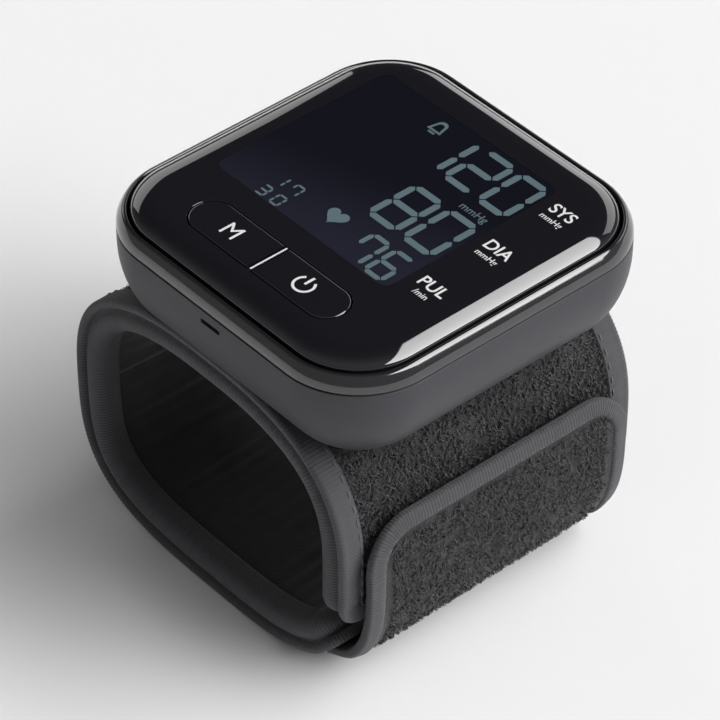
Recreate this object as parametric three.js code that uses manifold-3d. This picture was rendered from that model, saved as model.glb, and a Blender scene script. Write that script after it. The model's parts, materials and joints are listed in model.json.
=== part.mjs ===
// Wrist blood pressure monitor: a display head on a wrap-round cuff, standing on the cuff.
// Millimetres, +Z up. +X runs to the right across the display and +Y runs up the display.
import * as THREE from 'three';
import { mergeVertices } from 'three/addons/utils/BufferGeometryUtils.js';
import Module from 'manifold-3d';

const wasm = await Module();
wasm.setup();
const { Manifold, Mesh: SolidMesh } = wasm;

// Face of the head: the front panel is laid out round its window and its keys
const WINDOW_WIDTH = 43.0;
const WINDOW_HEIGHT = 38.3;
const WINDOW_LEFT = 6.8; // from the panel's edge to the window
const WINDOW_RIGHT = 13.8; // room for the labels beside the window
const WINDOW_TOP = 8.1;
const WINDOW_CORNER = 2.0;
const KEY_DROP = 4.8; // from the window down to the keys
const KEY_LENGTH = 37.1;
const KEY_HEIGHT = 8.6;
const KEY_MARGIN = 5.8; // from the keys down to the panel's edge
const KEY_GAP = 0.25;
const KEY_RIB = 0.8;
const KEY_PROUD = 0.1;
const KEY_TRAVEL = 0.6;
const KEY_FLANGE = 0.8;
const KEY_LIP = 0.6; // how far the flange reaches under the panel
const KEY_STEM = 0.7;
const PANEL_THICK = 2.4;
const CROWN_WIDTH = 5.2; // rounded border of the front panel
const CROWN_DROP = 2.2;

// Shells of the head
const HEAD_CORNER = 15.2;
const WALL = 1.9;
const SEAT = 0.3; // free space between a piece and what it rests on
const TRIM_REACH = 2.4; // from the head's outline in to the front panel
const PANEL_GAP = 0.4; // dark line between the front panel and the trim ring
const TRIM_DEPTH = 5.0; // from the face down to the parting line
const TRIM_CREST = 1.95; // from the face down to the crest of the ring's lip
const LIP_EDGE = 0.2; // small slope from the crest to the lip's inner edge
const TRIM_LEDGE = 4.0; // how far the ledge under the front panel reaches in
const LEDGE_THICK = 1.2;
const TONGUE_THICK = 1.1;
const TONGUE_DROP = 1.3;
const BOWL_SHOULDER = 8.0; // depth at which the side begins to turn under
const BOWL_REACH = 10.0;
const SADDLE_REACH = 4.35; // how far the sides of the saddle fall below its crown

// Display, board and switches
const LENS_THICK = 1.3;
const LENS_LEDGE = 1.0;
const LENS_GAP = 0.15;
const LCD_THICK = 1.4;
const LCD_BORDER = 1.0; // glass hidden behind the panel on each side
const GLASS_CORNER = 0.8;
const GUIDE_THICK = 1.8;
const TRAY_WALL = 0.8;
const TRAY_CORNER = 1.2;
const TRAY_RIM = 1.0; // rim of the tray under the edge of the glass
const TRAY_FEET = 1.1;
const LEAD_WIDTH = 18.0;
const LEAD_THICK = 0.3;
const BOARD_THICK = 1.2;
const BOARD_MARGIN = 2.7; // from the housing's inner wall to the board
const SWITCH_SIZE = 6.0;
const PLUNGER_RADIUS = 1.6;
const PLUNGER_SUNK = 1.0; // how far the plunger stands in its switch
const SCREW_RADIUS = 1.0;
const SCREW_HEAD = 2.0;
const SCREW_HEAD_THICK = 1.4;
const SCREW_LENGTH = 6.0; // below the board
const SCREW_CLEAR = 0.2;
const DRIVER_SLOT = 0.5;
const SCREW_INSET = 4.4; // from the board's edge to a screw
const BOSS_RADIUS = 2.6;

// Cell, port and sounder
const CELL_THICK = 5.0;
const CELL_SIDE = 6.3; // from the housing's left wall to the cell
const CELL_FRONT = 20.3; // from the housing's front wall to the cell
const CELL_GAP = 3.0; // from the cell to its neighbours
const CELL_CLEAR = 1.35; // under the cell, over the crown of the saddle
const CELL_CORNER = 2.0;
const PORT_X = -8.0;
const PORT_WIDTH = 8.9;
const PORT_HEIGHT = 3.2;
const PORT_LENGTH = 7.4;
const PORT_RECESS = 1.4;
const PORT_SHELL = 0.35;
const PORT_BACK = 1.2;
const PORT_TONGUE = 6.5;
const SLOT_WIDTH = 4.8;
const SLOT_HEIGHT = 0.9;
const SLOT_DROP = 2.5; // from the parting line down to the slot
const SOUNDER_RADIUS = 2.7;
const SOUNDER_THICK = 1.4;
const SOUNDER_SET = 1.6; // from the housing's front wall to the sounder's middle

// Air path
const PUMP_RADIUS = 5.0;
const PUMP_SIDE = 9.3; // from the housing's right wall to the pump
const PUMP_FRONT = 12.3; // from the housing's front wall to the motor
const MOTOR_LENGTH = 18.0;
const PUMP_LENGTH = 10.0;
const BEARING_RADIUS = 1.6;
const BEARING_LENGTH = 1.2;
const VALVE_GAP = 2.4;
const VALVE_WIDTH = 9.0;
const VALVE_LENGTH = 12.0;
const VALVE_HEIGHT = 8.5;
const VALVE_TAP = 3.0; // from the valve's front to its tube
const TUBE_RADIUS = 1.5;
const TUBE_BORE = 0.8;
const BRANCH_RADIUS = 1.2;
const BRANCH_BORE = 0.6;
const TUBE_GAP = 1.75; // free space on each side of the manifold
const TUBE_DROP = 3.0;
const SENSOR_SIZE = 7.0;
const SENSOR_THICK = 2.4;
const SENSOR_Y = 13.0;
const NIPPLE_RADIUS = 1.2;
const NIPPLE_LENGTH = 2.2;
const NOZZLE_RADIUS = 2.0;
const NOZZLE_WALL = 0.9;
const NOZZLE_Y = -6.0;

// Cuff ring, an oval in the XZ plane that is drawn out along Y
const RING_HALF_WIDTH = 35.5;
const RING_HALF_HEIGHT = 27.0;
const RING_SHIFT = -6.0; // the cuff bulges out past the left side of the head
const RING_TOP_POWER = 2.6;
const RING_BASE_POWER = 3.2;
const CUFF_WIDTH = 65.0;
const BASE_FLAT = 0.25; // how deep the edge tape is pressed flat where the cuff stands
const TAPE = 0.6;
const TAPE_REACH = 5.0;
const LAYER_GAP = 0.15;
const COVER = 1.4;
const CORE = 0.8;
const BLADDER = 1.6;
const LINING = 0.8;
const BLADDER_WIDTH = 42.0;
const CUFF_SCREW_HEAD = 2.2;
const CUFF_SCREW_THICK = 1.0;
const CUFF_BOSS = 3.2; // height of a screw boss over the housing's floor
const SPLIT_GAP = 0.4;

// Closing flap
const FLAP = 1.6;
const FLAP_WIDTH = 58.0;
const FLAP_CORNER = 9.0;
const HOOK = 0.9;
const HOOK_GAP = 0.4; // from the hook tape to the cuff
const HOOK_BORDER = 5.0;

// Places round the cuff, in degrees from the right-hand side, counter-clockwise seen from the front
const SHORT_END = -20;
const SPLIT = 180;
const LONG_END = -29;
const FLAP_ROOT = -41;
const FLAP_TIP = 15;
const BLADDER_END = 12; // from each end of the upper arm to the bladder
const PAD_END = 4; // from each end of the lower arm to its pad

// Fineness of the curves
const CORNER_STEPS = 7;
const ARC_STEPS = 7;
const CROWN_STEPS = 6;
const LIP_STEPS = 5;
const BOWL_STEPS = 8;
const RING_STEP = 5;
const LEAST_CORNER = 0.6;

// Worked out from the sizes above
const COVER_IN = TAPE + LAYER_GAP;
const CORE_IN = COVER_IN + COVER + LAYER_GAP;
const BLADDER_IN = CORE_IN + CORE + LAYER_GAP;
const LINING_IN = BLADDER_IN + BLADDER + LAYER_GAP;
const INNER_TAPE_IN = LINING_IN + LINING + LAYER_GAP;
const CUFF_THICK = INNER_TAPE_IN + TAPE;
const FLAP_OUT = HOOK_GAP + HOOK + LAYER_GAP;
const FLAP_FACE = FLAP_OUT + FLAP;

const LCD_DEPTH = PANEL_THICK + SEAT;
const TRAY_DEPTH = LCD_DEPTH + LCD_THICK + SEAT;
const GUIDE_DEPTH = TRAY_DEPTH + SEAT;
const LEDGE_DEPTH = GUIDE_DEPTH + GUIDE_THICK + SEAT;
const TRAY_BASE = LEDGE_DEPTH + TRAY_WALL + TRAY_FEET;
const BOARD_DEPTH = TRAY_BASE + SEAT;
const HANG_DEPTH = BOARD_DEPTH + BOARD_THICK + SEAT;
const HEAD_DEPTH = HANG_DEPTH + CELL_THICK + CELL_CLEAR + WALL;
const BOWL_DEPTH = HEAD_DEPTH + SADDLE_REACH;

const RING_Z = RING_HALF_HEIGHT - BASE_FLAT;
const SADDLE_Z = RING_Z + RING_HALF_HEIGHT - COVER_IN + SEAT;
const FACE_Z = SADDLE_Z + HEAD_DEPTH;

const PANEL_WIDTH = WINDOW_LEFT + WINDOW_WIDTH + WINDOW_RIGHT;
const PANEL_HEIGHT = WINDOW_TOP + WINDOW_HEIGHT + KEY_DROP + KEY_HEIGHT + KEY_MARGIN;
const PANEL_CORNER = HEAD_CORNER - TRIM_REACH;
const HEAD_WIDTH = PANEL_WIDTH + 2 * TRIM_REACH;
const HEAD_HEIGHT = PANEL_HEIGHT + 2 * TRIM_REACH;
const WINDOW_X = (WINDOW_LEFT - WINDOW_RIGHT) / 2;
const WINDOW_Y = PANEL_HEIGHT / 2 - WINDOW_TOP - WINDOW_HEIGHT / 2;
const KEY_Y = KEY_MARGIN + KEY_HEIGHT / 2 - PANEL_HEIGHT / 2;
const KEY_X = KEY_LENGTH / 4;
const INNER_X = HEAD_WIDTH / 2 - WALL;
const INNER_Y = HEAD_HEIGHT / 2 - WALL;
const BOARD_WIDTH = 2 * (INNER_X - BOARD_MARGIN);
const BOARD_HEIGHT = 2 * (INNER_Y - BOARD_MARGIN);
const PUMP_X = INNER_X - PUMP_SIDE - PUMP_RADIUS;
const PUMP_DEPTH = HANG_DEPTH + PUMP_RADIUS;
const TRUNK_X = PUMP_X - PUMP_RADIUS - TUBE_GAP - TUBE_RADIUS;
const NOZZLE_X = TRUNK_X - TUBE_RADIUS - TUBE_GAP - SENSOR_SIZE / 2;

const degrees = (angle) => (angle * Math.PI) / 180;
const atDepth = (depth) => FACE_Z - depth;

// A closed solid from a three.js geometry.
function solidFrom(geometry) {
  const bare = new THREE.BufferGeometry();
  bare.setAttribute('position', geometry.getAttribute('position'));
  bare.setIndex(geometry.getIndex());
  const welded = mergeVertices(bare, 1e-4);
  return new Manifold(
    new SolidMesh({
      numProp: 3,
      vertProperties: new Float32Array(welded.getAttribute('position').array),
      triVerts: new Uint32Array(welded.getIndex().array),
    }),
  );
}

function cut(solid, ...tools) {
  return tools.reduce((rest, tool) => rest.subtract(tool), solid);
}

function fuse(...solids) {
  return solids.reduce((whole, solid) => whole.add(solid));
}

// A block by its middle and its size along X, Y and Z.
function block(x, y, z, sizeX, sizeY, sizeZ) {
  return solidFrom(new THREE.BoxGeometry(sizeX, sizeY, sizeZ).translate(x, y, z));
}

// A flat outline drawn up from one height to another.
function prism(shape, low, high, arcSteps = 3) {
  const options = { depth: high - low, bevelEnabled: false, curveSegments: arcSteps };
  return solidFrom(new THREE.ExtrudeGeometry(shape, options).translate(0, 0, low));
}

// A round bar along X, Y or Z by its middle.
function rod(axis, radius, length, x, y, z, sides = 24) {
  const bar = new THREE.CylinderGeometry(radius, radius, length, sides);
  if (axis === 'x') {
    bar.rotateZ(Math.PI / 2);
  }
  if (axis === 'z') {
    bar.rotateX(Math.PI / 2);
  }
  return solidFrom(bar.translate(x, y, z));
}

// A round bar along Z between two heights.
function post(radius, x, y, low, high, sides = 24) {
  return rod('z', radius, high - low, x, y, (low + high) / 2, sides);
}

function roundedShape(width, height, radius, x = 0, y = 0) {
  const shape = new THREE.Shape();
  const right = x + width / 2 - radius;
  const left = x - width / 2 + radius;
  const top = y + height / 2 - radius;
  const base = y - height / 2 + radius;
  shape.absarc(right, top, radius, 0, Math.PI / 2);
  shape.absarc(left, top, radius, Math.PI / 2, Math.PI);
  shape.absarc(left, base, radius, Math.PI, 1.5 * Math.PI);
  shape.absarc(right, base, radius, 1.5 * Math.PI, 2 * Math.PI);
  return shape;
}

// A level loop of points round a rectangle with round corners, moved in from its outline.
function roundedLoop(width, height, radius, inset, z) {
  const corner = Math.max(radius - inset, LEAST_CORNER);
  const spanX = width / 2 - inset - corner;
  const spanY = height / 2 - inset - corner;
  const loop = [];
  for (let quarter = 0; quarter < 4; quarter += 1) {
    const middleX = quarter === 0 || quarter === 3 ? spanX : -spanX;
    const middleY = quarter < 2 ? spanY : -spanY;
    for (let step = 0; step <= CORNER_STEPS; step += 1) {
      const turn = degrees(90 * (quarter + step / CORNER_STEPS));
      loop.push([middleX + corner * Math.cos(turn), middleY + corner * Math.sin(turn), z]);
    }
  }
  return loop;
}

// Side faces between loops that follow one another, as triangles of point numbers.
function sideFaces(count, size, closed) {
  const faces = [];
  const bands = closed ? count : count - 1;
  for (let band = 0; band < bands; band += 1) {
    const low = band * size;
    const high = ((band + 1) % count) * size;
    for (let k = 0; k < size; k += 1) {
      const next = (k + 1) % size;
      faces.push(low + k, low + next, high + next, low + k, high + next, high + k);
    }
  }
  return faces;
}

function loopGeometry(loops, faces) {
  const geometry = new THREE.BufferGeometry();
  geometry.setAttribute('position', new THREE.Float32BufferAttribute(loops.flat(2), 3));
  geometry.setIndex(faces);
  return geometry;
}

// A solid through level loops, lowest first, closed by its first and last loop.
function stack(loops) {
  const size = loops[0].length;
  const faces = sideFaces(loops.length, size, false);
  const top = (loops.length - 1) * size;
  for (let k = 1; k < size - 1; k += 1) {
    faces.push(0, k + 1, k, top, top + k, top + k + 1);
  }
  return solidFrom(loopGeometry(loops, faces));
}

// A solid hoop whose section is the profile that the loops follow, up the outside and down the inside.
function hoop(loops) {
  return solidFrom(loopGeometry(loops, sideFaces(loops.length, loops[0].length, true)));
}

// A point of the cuff's outline at an angle, moved in towards the wrist by an inset.
function ringPoint(angle, inset) {
  const across = Math.cos(degrees(angle));
  const up = Math.sin(degrees(angle));
  const power = up >= 0 ? RING_TOP_POWER : RING_BASE_POWER;
  const reach =
    Math.abs(across / RING_HALF_WIDTH) ** power + Math.abs(up / RING_HALF_HEIGHT) ** power;
  const radius = reach ** (-1 / power);
  const x = radius * across;
  const z = radius * up;
  const normal = new THREE.Vector2(
    (Math.sign(x) * Math.abs(x / RING_HALF_WIDTH) ** (power - 1)) / RING_HALF_WIDTH,
    (Math.sign(z) * Math.abs(z / RING_HALF_HEIGHT) ** (power - 1)) / RING_HALF_HEIGHT,
  ).normalize();
  return new THREE.Vector2(RING_SHIFT + x - normal.x * inset, RING_Z + z - normal.y * inset);
}

function ringArc(from, to, inset) {
  const steps = Math.max(2, Math.ceil((to - from) / RING_STEP));
  const points = [];
  for (let k = 0; k <= steps; k += 1) {
    points.push(ringPoint(from + ((to - from) * k) / steps, inset));
  }
  return points;
}

// Height of the cuff's top at a place across the head, at an inset.
function ringTopAt(x, inset) {
  let low = 1;
  let high = 179;
  for (let k = 0; k < 40; k += 1) {
    const middle = (low + high) / 2;
    if (ringPoint(middle, inset).x > x) {
      low = middle;
    } else {
      high = middle;
    }
  }
  return ringPoint(low, inset).y;
}

// An outline in the XZ plane drawn out along Y from front to rear.
function drawnAlongY(points, front, rear) {
  const options = { depth: rear - front, bevelEnabled: false };
  const geometry = new THREE.ExtrudeGeometry(new THREE.Shape(points), options);
  return solidFrom(geometry.rotateX(Math.PI / 2).translate(0, rear, 0));
}

// An outline of Y and Z values drawn out along X from zero.
function drawnAlongX(pairs, length) {
  const outline = new THREE.Shape(pairs.map(([y, z]) => new THREE.Vector2(y, z)));
  const options = { depth: length, bevelEnabled: false, curveSegments: ARC_STEPS };
  return turnedToX(new THREE.ExtrudeGeometry(outline, options));
}

// A solid drawn along Z whose outline is turned so that it runs along X instead.
function turnedToX(geometry) {
  return solidFrom(geometry.rotateX(Math.PI / 2).rotateZ(Math.PI / 2));
}

// A curved sheet of the cuff between two angles and two insets, as wide as given along Y.
function sheet(from, to, outer, inner, width) {
  const points = [...ringArc(from, to, outer), ...ringArc(from, to, inner).reverse()];
  return drawnAlongY(points, -width / 2, width / 2);
}

// The whole oval of the cuff as one solid, for cutting the saddle of the head.
function ringBlock(inset, front, rear) {
  return drawnAlongY(ringArc(0, 360 - RING_STEP, inset), front, rear);
}

// Finishes
const finish = (color, roughness, metalness = 0) =>
  new THREE.MeshStandardMaterial({ color, roughness, metalness });
const glossBlack = finish('#121216', 0.12);
const satinTrim = finish('#2c2b2f', 0.34);
const mattHousing = finish('#39383c', 0.62);
const smokedLens = finish('#161826', 0.08);
const lcdGlass = finish('#1c2030', 0.2);
const whitePlastic = finish('#e6e6e2', 0.45);
const clearGuide = finish('#dfe6ea', 0.25);
const boardGreen = finish('#1f5a3a', 0.5);
const flexAmber = finish('#a06a2c', 0.45);
const bareSteel = finish('#b9bcc0', 0.3, 1);
const blackPlastic = finish('#1b1b1d', 0.5);
const pouchSilver = finish('#9a9da1', 0.4, 0.8);
const siliconeTube = finish('#d6d4cc', 0.55);
const brassDisc = finish('#b08d4a', 0.35, 1);
const pileFabric = finish('#2d2b2e', 0.95);
const tapeFabric = finish('#4a494c', 0.85);
const liningFabric = finish('#1d1c1f', 0.8);
const stiffSheet = finish('#8d9094', 0.5);
const bladderFilm = finish('#6d6f74', 0.4);
const foamPad = finish('#3c3c3f', 0.9);
const hookNylon = finish('#19191b', 0.75);

const monitor = new THREE.Group();
monitor.name = 'wrist_monitor';
const rightSide = Math.max(HEAD_WIDTH / 2, RING_SHIFT + RING_HALF_WIDTH + FLAP_FACE);
const leftSide = Math.min(-HEAD_WIDTH / 2, RING_SHIFT - RING_HALF_WIDTH);
monitor.position.x = -(rightSide + leftSide) / 2;

function add(name, material, solid) {
  const made = solid.getMesh();
  const geometry = new THREE.BufferGeometry();
  geometry.setAttribute('position', new THREE.BufferAttribute(made.vertProperties, 3));
  geometry.setIndex(new THREE.BufferAttribute(made.triVerts, 1));
  geometry.computeVertexNormals();
  const mesh = new THREE.Mesh(geometry, material);
  mesh.name = name;
  monitor.add(mesh);
}

// Front panel with the rounded border, the window step and the two key openings
function halfPill(side, radius, inner) {
  const end = KEY_LENGTH / 2 - KEY_HEIGHT / 2;
  const shape = new THREE.Shape();
  shape.moveTo(side * inner, KEY_Y - side * radius);
  shape.lineTo(side * end, KEY_Y - side * radius);
  const start = side > 0 ? -Math.PI / 2 : Math.PI / 2;
  shape.absarc(side * end, KEY_Y, radius, start, start + Math.PI);
  shape.lineTo(side * inner, KEY_Y + side * radius);
  return shape;
}

function windowShape(shrink) {
  const width = WINDOW_WIDTH - 2 * shrink;
  const height = WINDOW_HEIGHT - 2 * shrink;
  return roundedShape(width, height, WINDOW_CORNER - shrink, WINDOW_X, WINDOW_Y);
}

const panelLoop = (inset, depth) =>
  roundedLoop(PANEL_WIDTH, PANEL_HEIGHT, PANEL_CORNER, inset, atDepth(depth));
const panelLoops = [panelLoop(0, PANEL_THICK)];
for (let step = 0; step <= CROWN_STEPS; step += 1) {
  const turn = degrees((90 * step) / CROWN_STEPS);
  const inset = CROWN_WIDTH * (1 - Math.cos(turn));
  panelLoops.push(panelLoop(inset, CROWN_DROP * (1 - Math.sin(turn))));
}
const keyPrism = (side, radius, inner, low, high) =>
  prism(halfPill(side, radius, inner), low, high, ARC_STEPS);
const keyOpening = (side) =>
  keyPrism(side, KEY_HEIGHT / 2, KEY_RIB / 2, atDepth(PANEL_THICK + 1), FACE_Z + 1);
const frontPanel = cut(
  stack(panelLoops),
  prism(windowShape(0), atDepth(LENS_THICK + SEAT), FACE_Z + 1),
  prism(windowShape(LENS_LEDGE), atDepth(PANEL_THICK + 1), FACE_Z + 1),
  keyOpening(1),
  keyOpening(-1),
);
add('front_panel', glossBlack, frontPanel);
add('display_window', smokedLens, prism(windowShape(LENS_GAP), atDepth(LENS_THICK), FACE_Z));

// Trim ring: a rounded lip outside, a ledge under the front panel and a tongue into the housing
const headLoop = (inset, depth) =>
  roundedLoop(HEAD_WIDTH, HEAD_HEIGHT, HEAD_CORNER, inset, atDepth(depth));
const lipIn = TRIM_REACH - PANEL_GAP;
const tongueOut = WALL + SEAT;
const tongueIn = tongueOut + TONGUE_THICK;
const ledgeIn = lipIn + TRIM_LEDGE;
const trimLoops = [];
for (let step = 0; step <= LIP_STEPS; step += 1) {
  const turn = degrees((90 * step) / LIP_STEPS);
  const inset = (lipIn - LIP_EDGE) * (1 - Math.cos(turn));
  trimLoops.push(headLoop(inset, TRIM_DEPTH - (TRIM_DEPTH - TRIM_CREST) * Math.sin(turn)));
}
trimLoops.push(
  headLoop(lipIn, TRIM_CREST + LIP_EDGE),
  headLoop(lipIn, PANEL_THICK + SEAT),
  headLoop(ledgeIn, PANEL_THICK + SEAT),
  headLoop(ledgeIn, PANEL_THICK + SEAT + LEDGE_THICK),
  headLoop(tongueIn, PANEL_THICK + SEAT + LEDGE_THICK),
  headLoop(tongueIn, TRIM_DEPTH + TONGUE_DROP),
  headLoop(tongueOut, TRIM_DEPTH + TONGUE_DROP),
  headLoop(tongueOut, TRIM_DEPTH),
);
add('trim_ring', satinTrim, hoop(trimLoops));

// Lower housing: a bowl whose underside is a saddle that sits on the cuff
function bowl(inset, rimDepth) {
  const fall = BOWL_DEPTH - BOWL_SHOULDER - inset;
  const loops = [];
  for (let step = BOWL_STEPS; step >= 0; step -= 1) {
    const turn = degrees((90 * step) / BOWL_STEPS);
    const moved = inset + BOWL_REACH * (1 - Math.cos(turn));
    loops.push(headLoop(moved, BOWL_SHOULDER + fall * Math.sin(turn)));
  }
  loops.push(headLoop(inset, rimDepth));
  return stack(loops);
}

// Room for the cuff under the head, with a step over the edge tape at each end.
function saddle(clear) {
  const far = HEAD_HEIGHT;
  const step = CUFF_WIDTH / 2 - TAPE_REACH - clear;
  return fuse(
    ringBlock(COVER_IN - clear, -far, far),
    ringBlock(-clear, step, far),
    ringBlock(-clear, -far, -step),
  );
}

const screwX = BOARD_WIDTH / 2 - SCREW_INSET;
const screwY = BOARD_HEIGHT / 2 - SCREW_INSET;
const boardScrews = [
  [screwX, -screwY],
  [-screwX, -screwY],
  [screwX, screwY],
];
const cuffScrewY = BLADDER_WIDTH / 2 + CUFF_SCREW_HEAD + 2 * SEAT;
const cuffScrews = [
  [NOZZLE_X, -cuffScrewY],
  [NOZZLE_X, cuffScrewY],
];
const portFace = HEAD_HEIGHT / 2 - PORT_RECESS;
const portZ = atDepth(HANG_DEPTH + PORT_HEIGHT / 2);
const slotZ = atDepth(TRIM_DEPTH + SLOT_DROP);
const sounderZ = slotZ - SOUNDER_RADIUS;
const rimDepth = TRIM_DEPTH + SEAT;
const bowlOutside = cut(bowl(0, rimDepth), saddle(SEAT));
const hollow = cut(bowl(WALL, 0), saddle(SEAT + WALL));
const boardBosses = boardScrews.map(([x, y]) =>
  post(BOSS_RADIUS, x, y, atDepth(BOWL_DEPTH + 1), atDepth(HANG_DEPTH)).intersect(bowlOutside),
);
const bossTop = atDepth(HEAD_DEPTH - WALL - CUFF_BOSS);
const cuffBosses = cuffScrews.map(([x, y]) =>
  post(BOSS_RADIUS, x, y, RING_Z, bossTop).intersect(bowlOutside),
);
const screwHole = SCREW_RADIUS + SCREW_CLEAR;
const boardScrewHoles = boardScrews.map(([x, y]) =>
  post(screwHole, x, y, atDepth(HANG_DEPTH + SCREW_LENGTH + SCREW_CLEAR), FACE_Z),
);
const cuffScrewHoles = cuffScrews.map(([x, y]) => post(screwHole, x, y, RING_Z, bossTop + 1));
const nozzleHole = post(NOZZLE_RADIUS + SEAT, NOZZLE_X, NOZZLE_Y, RING_Z, atDepth(HANG_DEPTH));
const motorFront = PUMP_FRONT - INNER_Y;
const pumpFront = motorFront + MOTOR_LENGTH + SEAT;
const pumpRear = pumpFront + PUMP_LENGTH;
const pumpMiddle = (motorFront + pumpRear) / 2;
const pumpBay = rod(
  'y',
  PUMP_RADIUS + SEAT,
  pumpRear - motorFront + 2 * SEAT,
  PUMP_X,
  pumpMiddle,
  atDepth(PUMP_DEPTH),
);
const housing = cut(
  fuse(cut(bowlOutside, hollow), ...boardBosses, ...cuffBosses),
  ...boardScrewHoles,
  ...cuffScrewHoles,
  nozzleHole,
  pumpBay,
  block(0, -HEAD_HEIGHT / 2, slotZ, SLOT_WIDTH, 3 * WALL, SLOT_HEIGHT),
  block(PORT_X, HEAD_HEIGHT / 2, portZ, PORT_WIDTH + 2 * SEAT, 6 * WALL, PORT_HEIGHT + 2 * SEAT),
);
add('lower_housing', mattHousing, housing);

// Keys: a cap in the panel opening, a flange that keeps it in and a stem on the switch
const keyBottom = PANEL_THICK + SEAT + KEY_FLANGE + KEY_STEM;
for (const [side, word] of [
  [1, 'power'],
  [-1, 'memory'],
]) {
  const capRadius = KEY_HEIGHT / 2 - KEY_GAP;
  const inner = KEY_RIB / 2 + KEY_GAP;
  const flangeHigh = atDepth(PANEL_THICK + SEAT);
  const cap = keyPrism(side, capRadius, inner, flangeHigh - KEY_FLANGE / 2, FACE_Z + KEY_PROUD);
  const flange = keyPrism(side, KEY_HEIGHT / 2 + KEY_LIP, inner, flangeHigh - KEY_FLANGE, flangeHigh);
  const stem = post(PLUNGER_RADIUS, side * KEY_X, KEY_Y, atDepth(keyBottom), atDepth(PANEL_THICK));
  add(`${word}_key`, glossBlack, fuse(cap, flange, stem));
  const plungerTop = keyBottom + SEAT;
  const bodyTop = plungerTop + KEY_TRAVEL + SEAT;
  const plungerBase = bodyTop + PLUNGER_SUNK;
  const plunger = post(PLUNGER_RADIUS, side * KEY_X, KEY_Y, atDepth(plungerBase), atDepth(plungerTop));
  add(`${word}_plunger`, whitePlastic, plunger);
  const bodyHigh = atDepth(bodyTop);
  const bodyLow = atDepth(TRAY_BASE);
  const bodyZ = (bodyHigh + bodyLow) / 2;
  const body = block(side * KEY_X, KEY_Y, bodyZ, SWITCH_SIZE, SWITCH_SIZE, bodyHigh - bodyLow);
  const boreLow = atDepth(plungerBase + KEY_TRAVEL + SEAT);
  const bore = post(PLUNGER_RADIUS + SEAT, side * KEY_X, KEY_Y, boreLow, FACE_Z);
  add(`${word}_switch`, blackPlastic, cut(body, bore));
}

// Display stack: glass on a tray, light guide in the tray, flexible lead to the board
const lcdWidth = WINDOW_WIDTH + 2 * LCD_BORDER;
const lcdHeight = WINDOW_HEIGHT + 2 * LCD_BORDER;
const glassShape = (grow, corner = GLASS_CORNER) =>
  roundedShape(lcdWidth + 2 * grow, lcdHeight + 2 * grow, corner, WINDOW_X, WINDOW_Y);
add('lcd_glass', lcdGlass, prism(glassShape(0), atDepth(LCD_DEPTH + LCD_THICK), atDepth(LCD_DEPTH)));
const guideLow = atDepth(GUIDE_DEPTH + GUIDE_THICK);
add('light_guide', clearGuide, prism(glassShape(-TRAY_RIM - SEAT), guideLow, atDepth(GUIDE_DEPTH)));
const tray = cut(
  prism(glassShape(TRAY_WALL, TRAY_CORNER), atDepth(TRAY_BASE), atDepth(TRAY_DEPTH)),
  prism(glassShape(-TRAY_RIM), atDepth(LEDGE_DEPTH), FACE_Z),
  prism(glassShape(-3 * TRAY_RIM), atDepth(BOARD_DEPTH), FACE_Z),
  prism(glassShape(0), atDepth(BOARD_DEPTH), atDepth(LEDGE_DEPTH + TRAY_WALL)),
);
add('display_tray', whitePlastic, tray);
const lcdTop = WINDOW_Y + lcdHeight / 2;
const leadFront = lcdTop + SEAT;
const leadRear = lcdTop + TRAY_WALL + SEAT + LEAD_THICK;
const leadHigh = atDepth(LCD_DEPTH + LCD_THICK / 2);
const leadLow = atDepth(TRAY_BASE);
const leadProfile = [
  [leadFront, leadHigh],
  [leadRear, leadHigh],
  [leadRear, leadLow],
  [leadRear - LEAD_THICK, leadLow],
  [leadRear - LEAD_THICK, leadHigh - LEAD_THICK],
  [leadFront, leadHigh - LEAD_THICK],
];
const leadMiddle = WINDOW_X - LEAD_WIDTH / 2;
add('display_lead', flexAmber, drawnAlongX(leadProfile, LEAD_WIDTH).translate([leadMiddle, 0, 0]));

// Main board and its screws
const boardShape = roundedShape(BOARD_WIDTH, BOARD_HEIGHT, HEAD_CORNER - WALL - BOARD_MARGIN);
const board = prism(boardShape, atDepth(BOARD_DEPTH + BOARD_THICK), atDepth(BOARD_DEPTH));
add('main_board', boardGreen, cut(board, ...boardScrewHoles));
boardScrews.forEach(([x, y], index) => {
  const headLow = atDepth(TRAY_BASE);
  const headHigh = headLow + SCREW_HEAD_THICK;
  const shank = post(SCREW_RADIUS, x, y, atDepth(HANG_DEPTH + SCREW_LENGTH), headHigh - DRIVER_SLOT, 16);
  const head = post(SCREW_HEAD, x, y, headLow, headHigh);
  const driver = block(x, y, headHigh, 1.2 * SCREW_HEAD, DRIVER_SLOT, DRIVER_SLOT);
  add(`board_screw_${index + 1}`, bareSteel, cut(fuse(head, shank), driver));
});

// Power: a pouch cell under the board and the charging port in the rear wall
const cellLeft = CELL_SIDE - INNER_X;
const cellRight = NOZZLE_X - SENSOR_SIZE / 2 - CELL_GAP;
const cellFront = CELL_FRONT - INNER_Y;
const cellRear = portFace - PORT_LENGTH - CELL_GAP;
const cellShape = roundedShape(
  cellRight - cellLeft,
  cellRear - cellFront,
  CELL_CORNER,
  (cellRight + cellLeft) / 2,
  (cellRear + cellFront) / 2,
);
const cellHigh = atDepth(HANG_DEPTH);
add('battery_cell', pouchSilver, prism(cellShape, cellHigh - CELL_THICK, cellHigh));
const portY = portFace - PORT_LENGTH / 2;
const mouthWidth = PORT_WIDTH - 2 * PORT_SHELL;
const mouthHeight = PORT_HEIGHT - 2 * PORT_SHELL;
const port = cut(
  block(PORT_X, portY, portZ, PORT_WIDTH, PORT_LENGTH, PORT_HEIGHT),
  block(PORT_X, portY + PORT_BACK, portZ, mouthWidth, PORT_LENGTH, mouthHeight),
);
const tongueLength = PORT_LENGTH - PORT_BACK;
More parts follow.
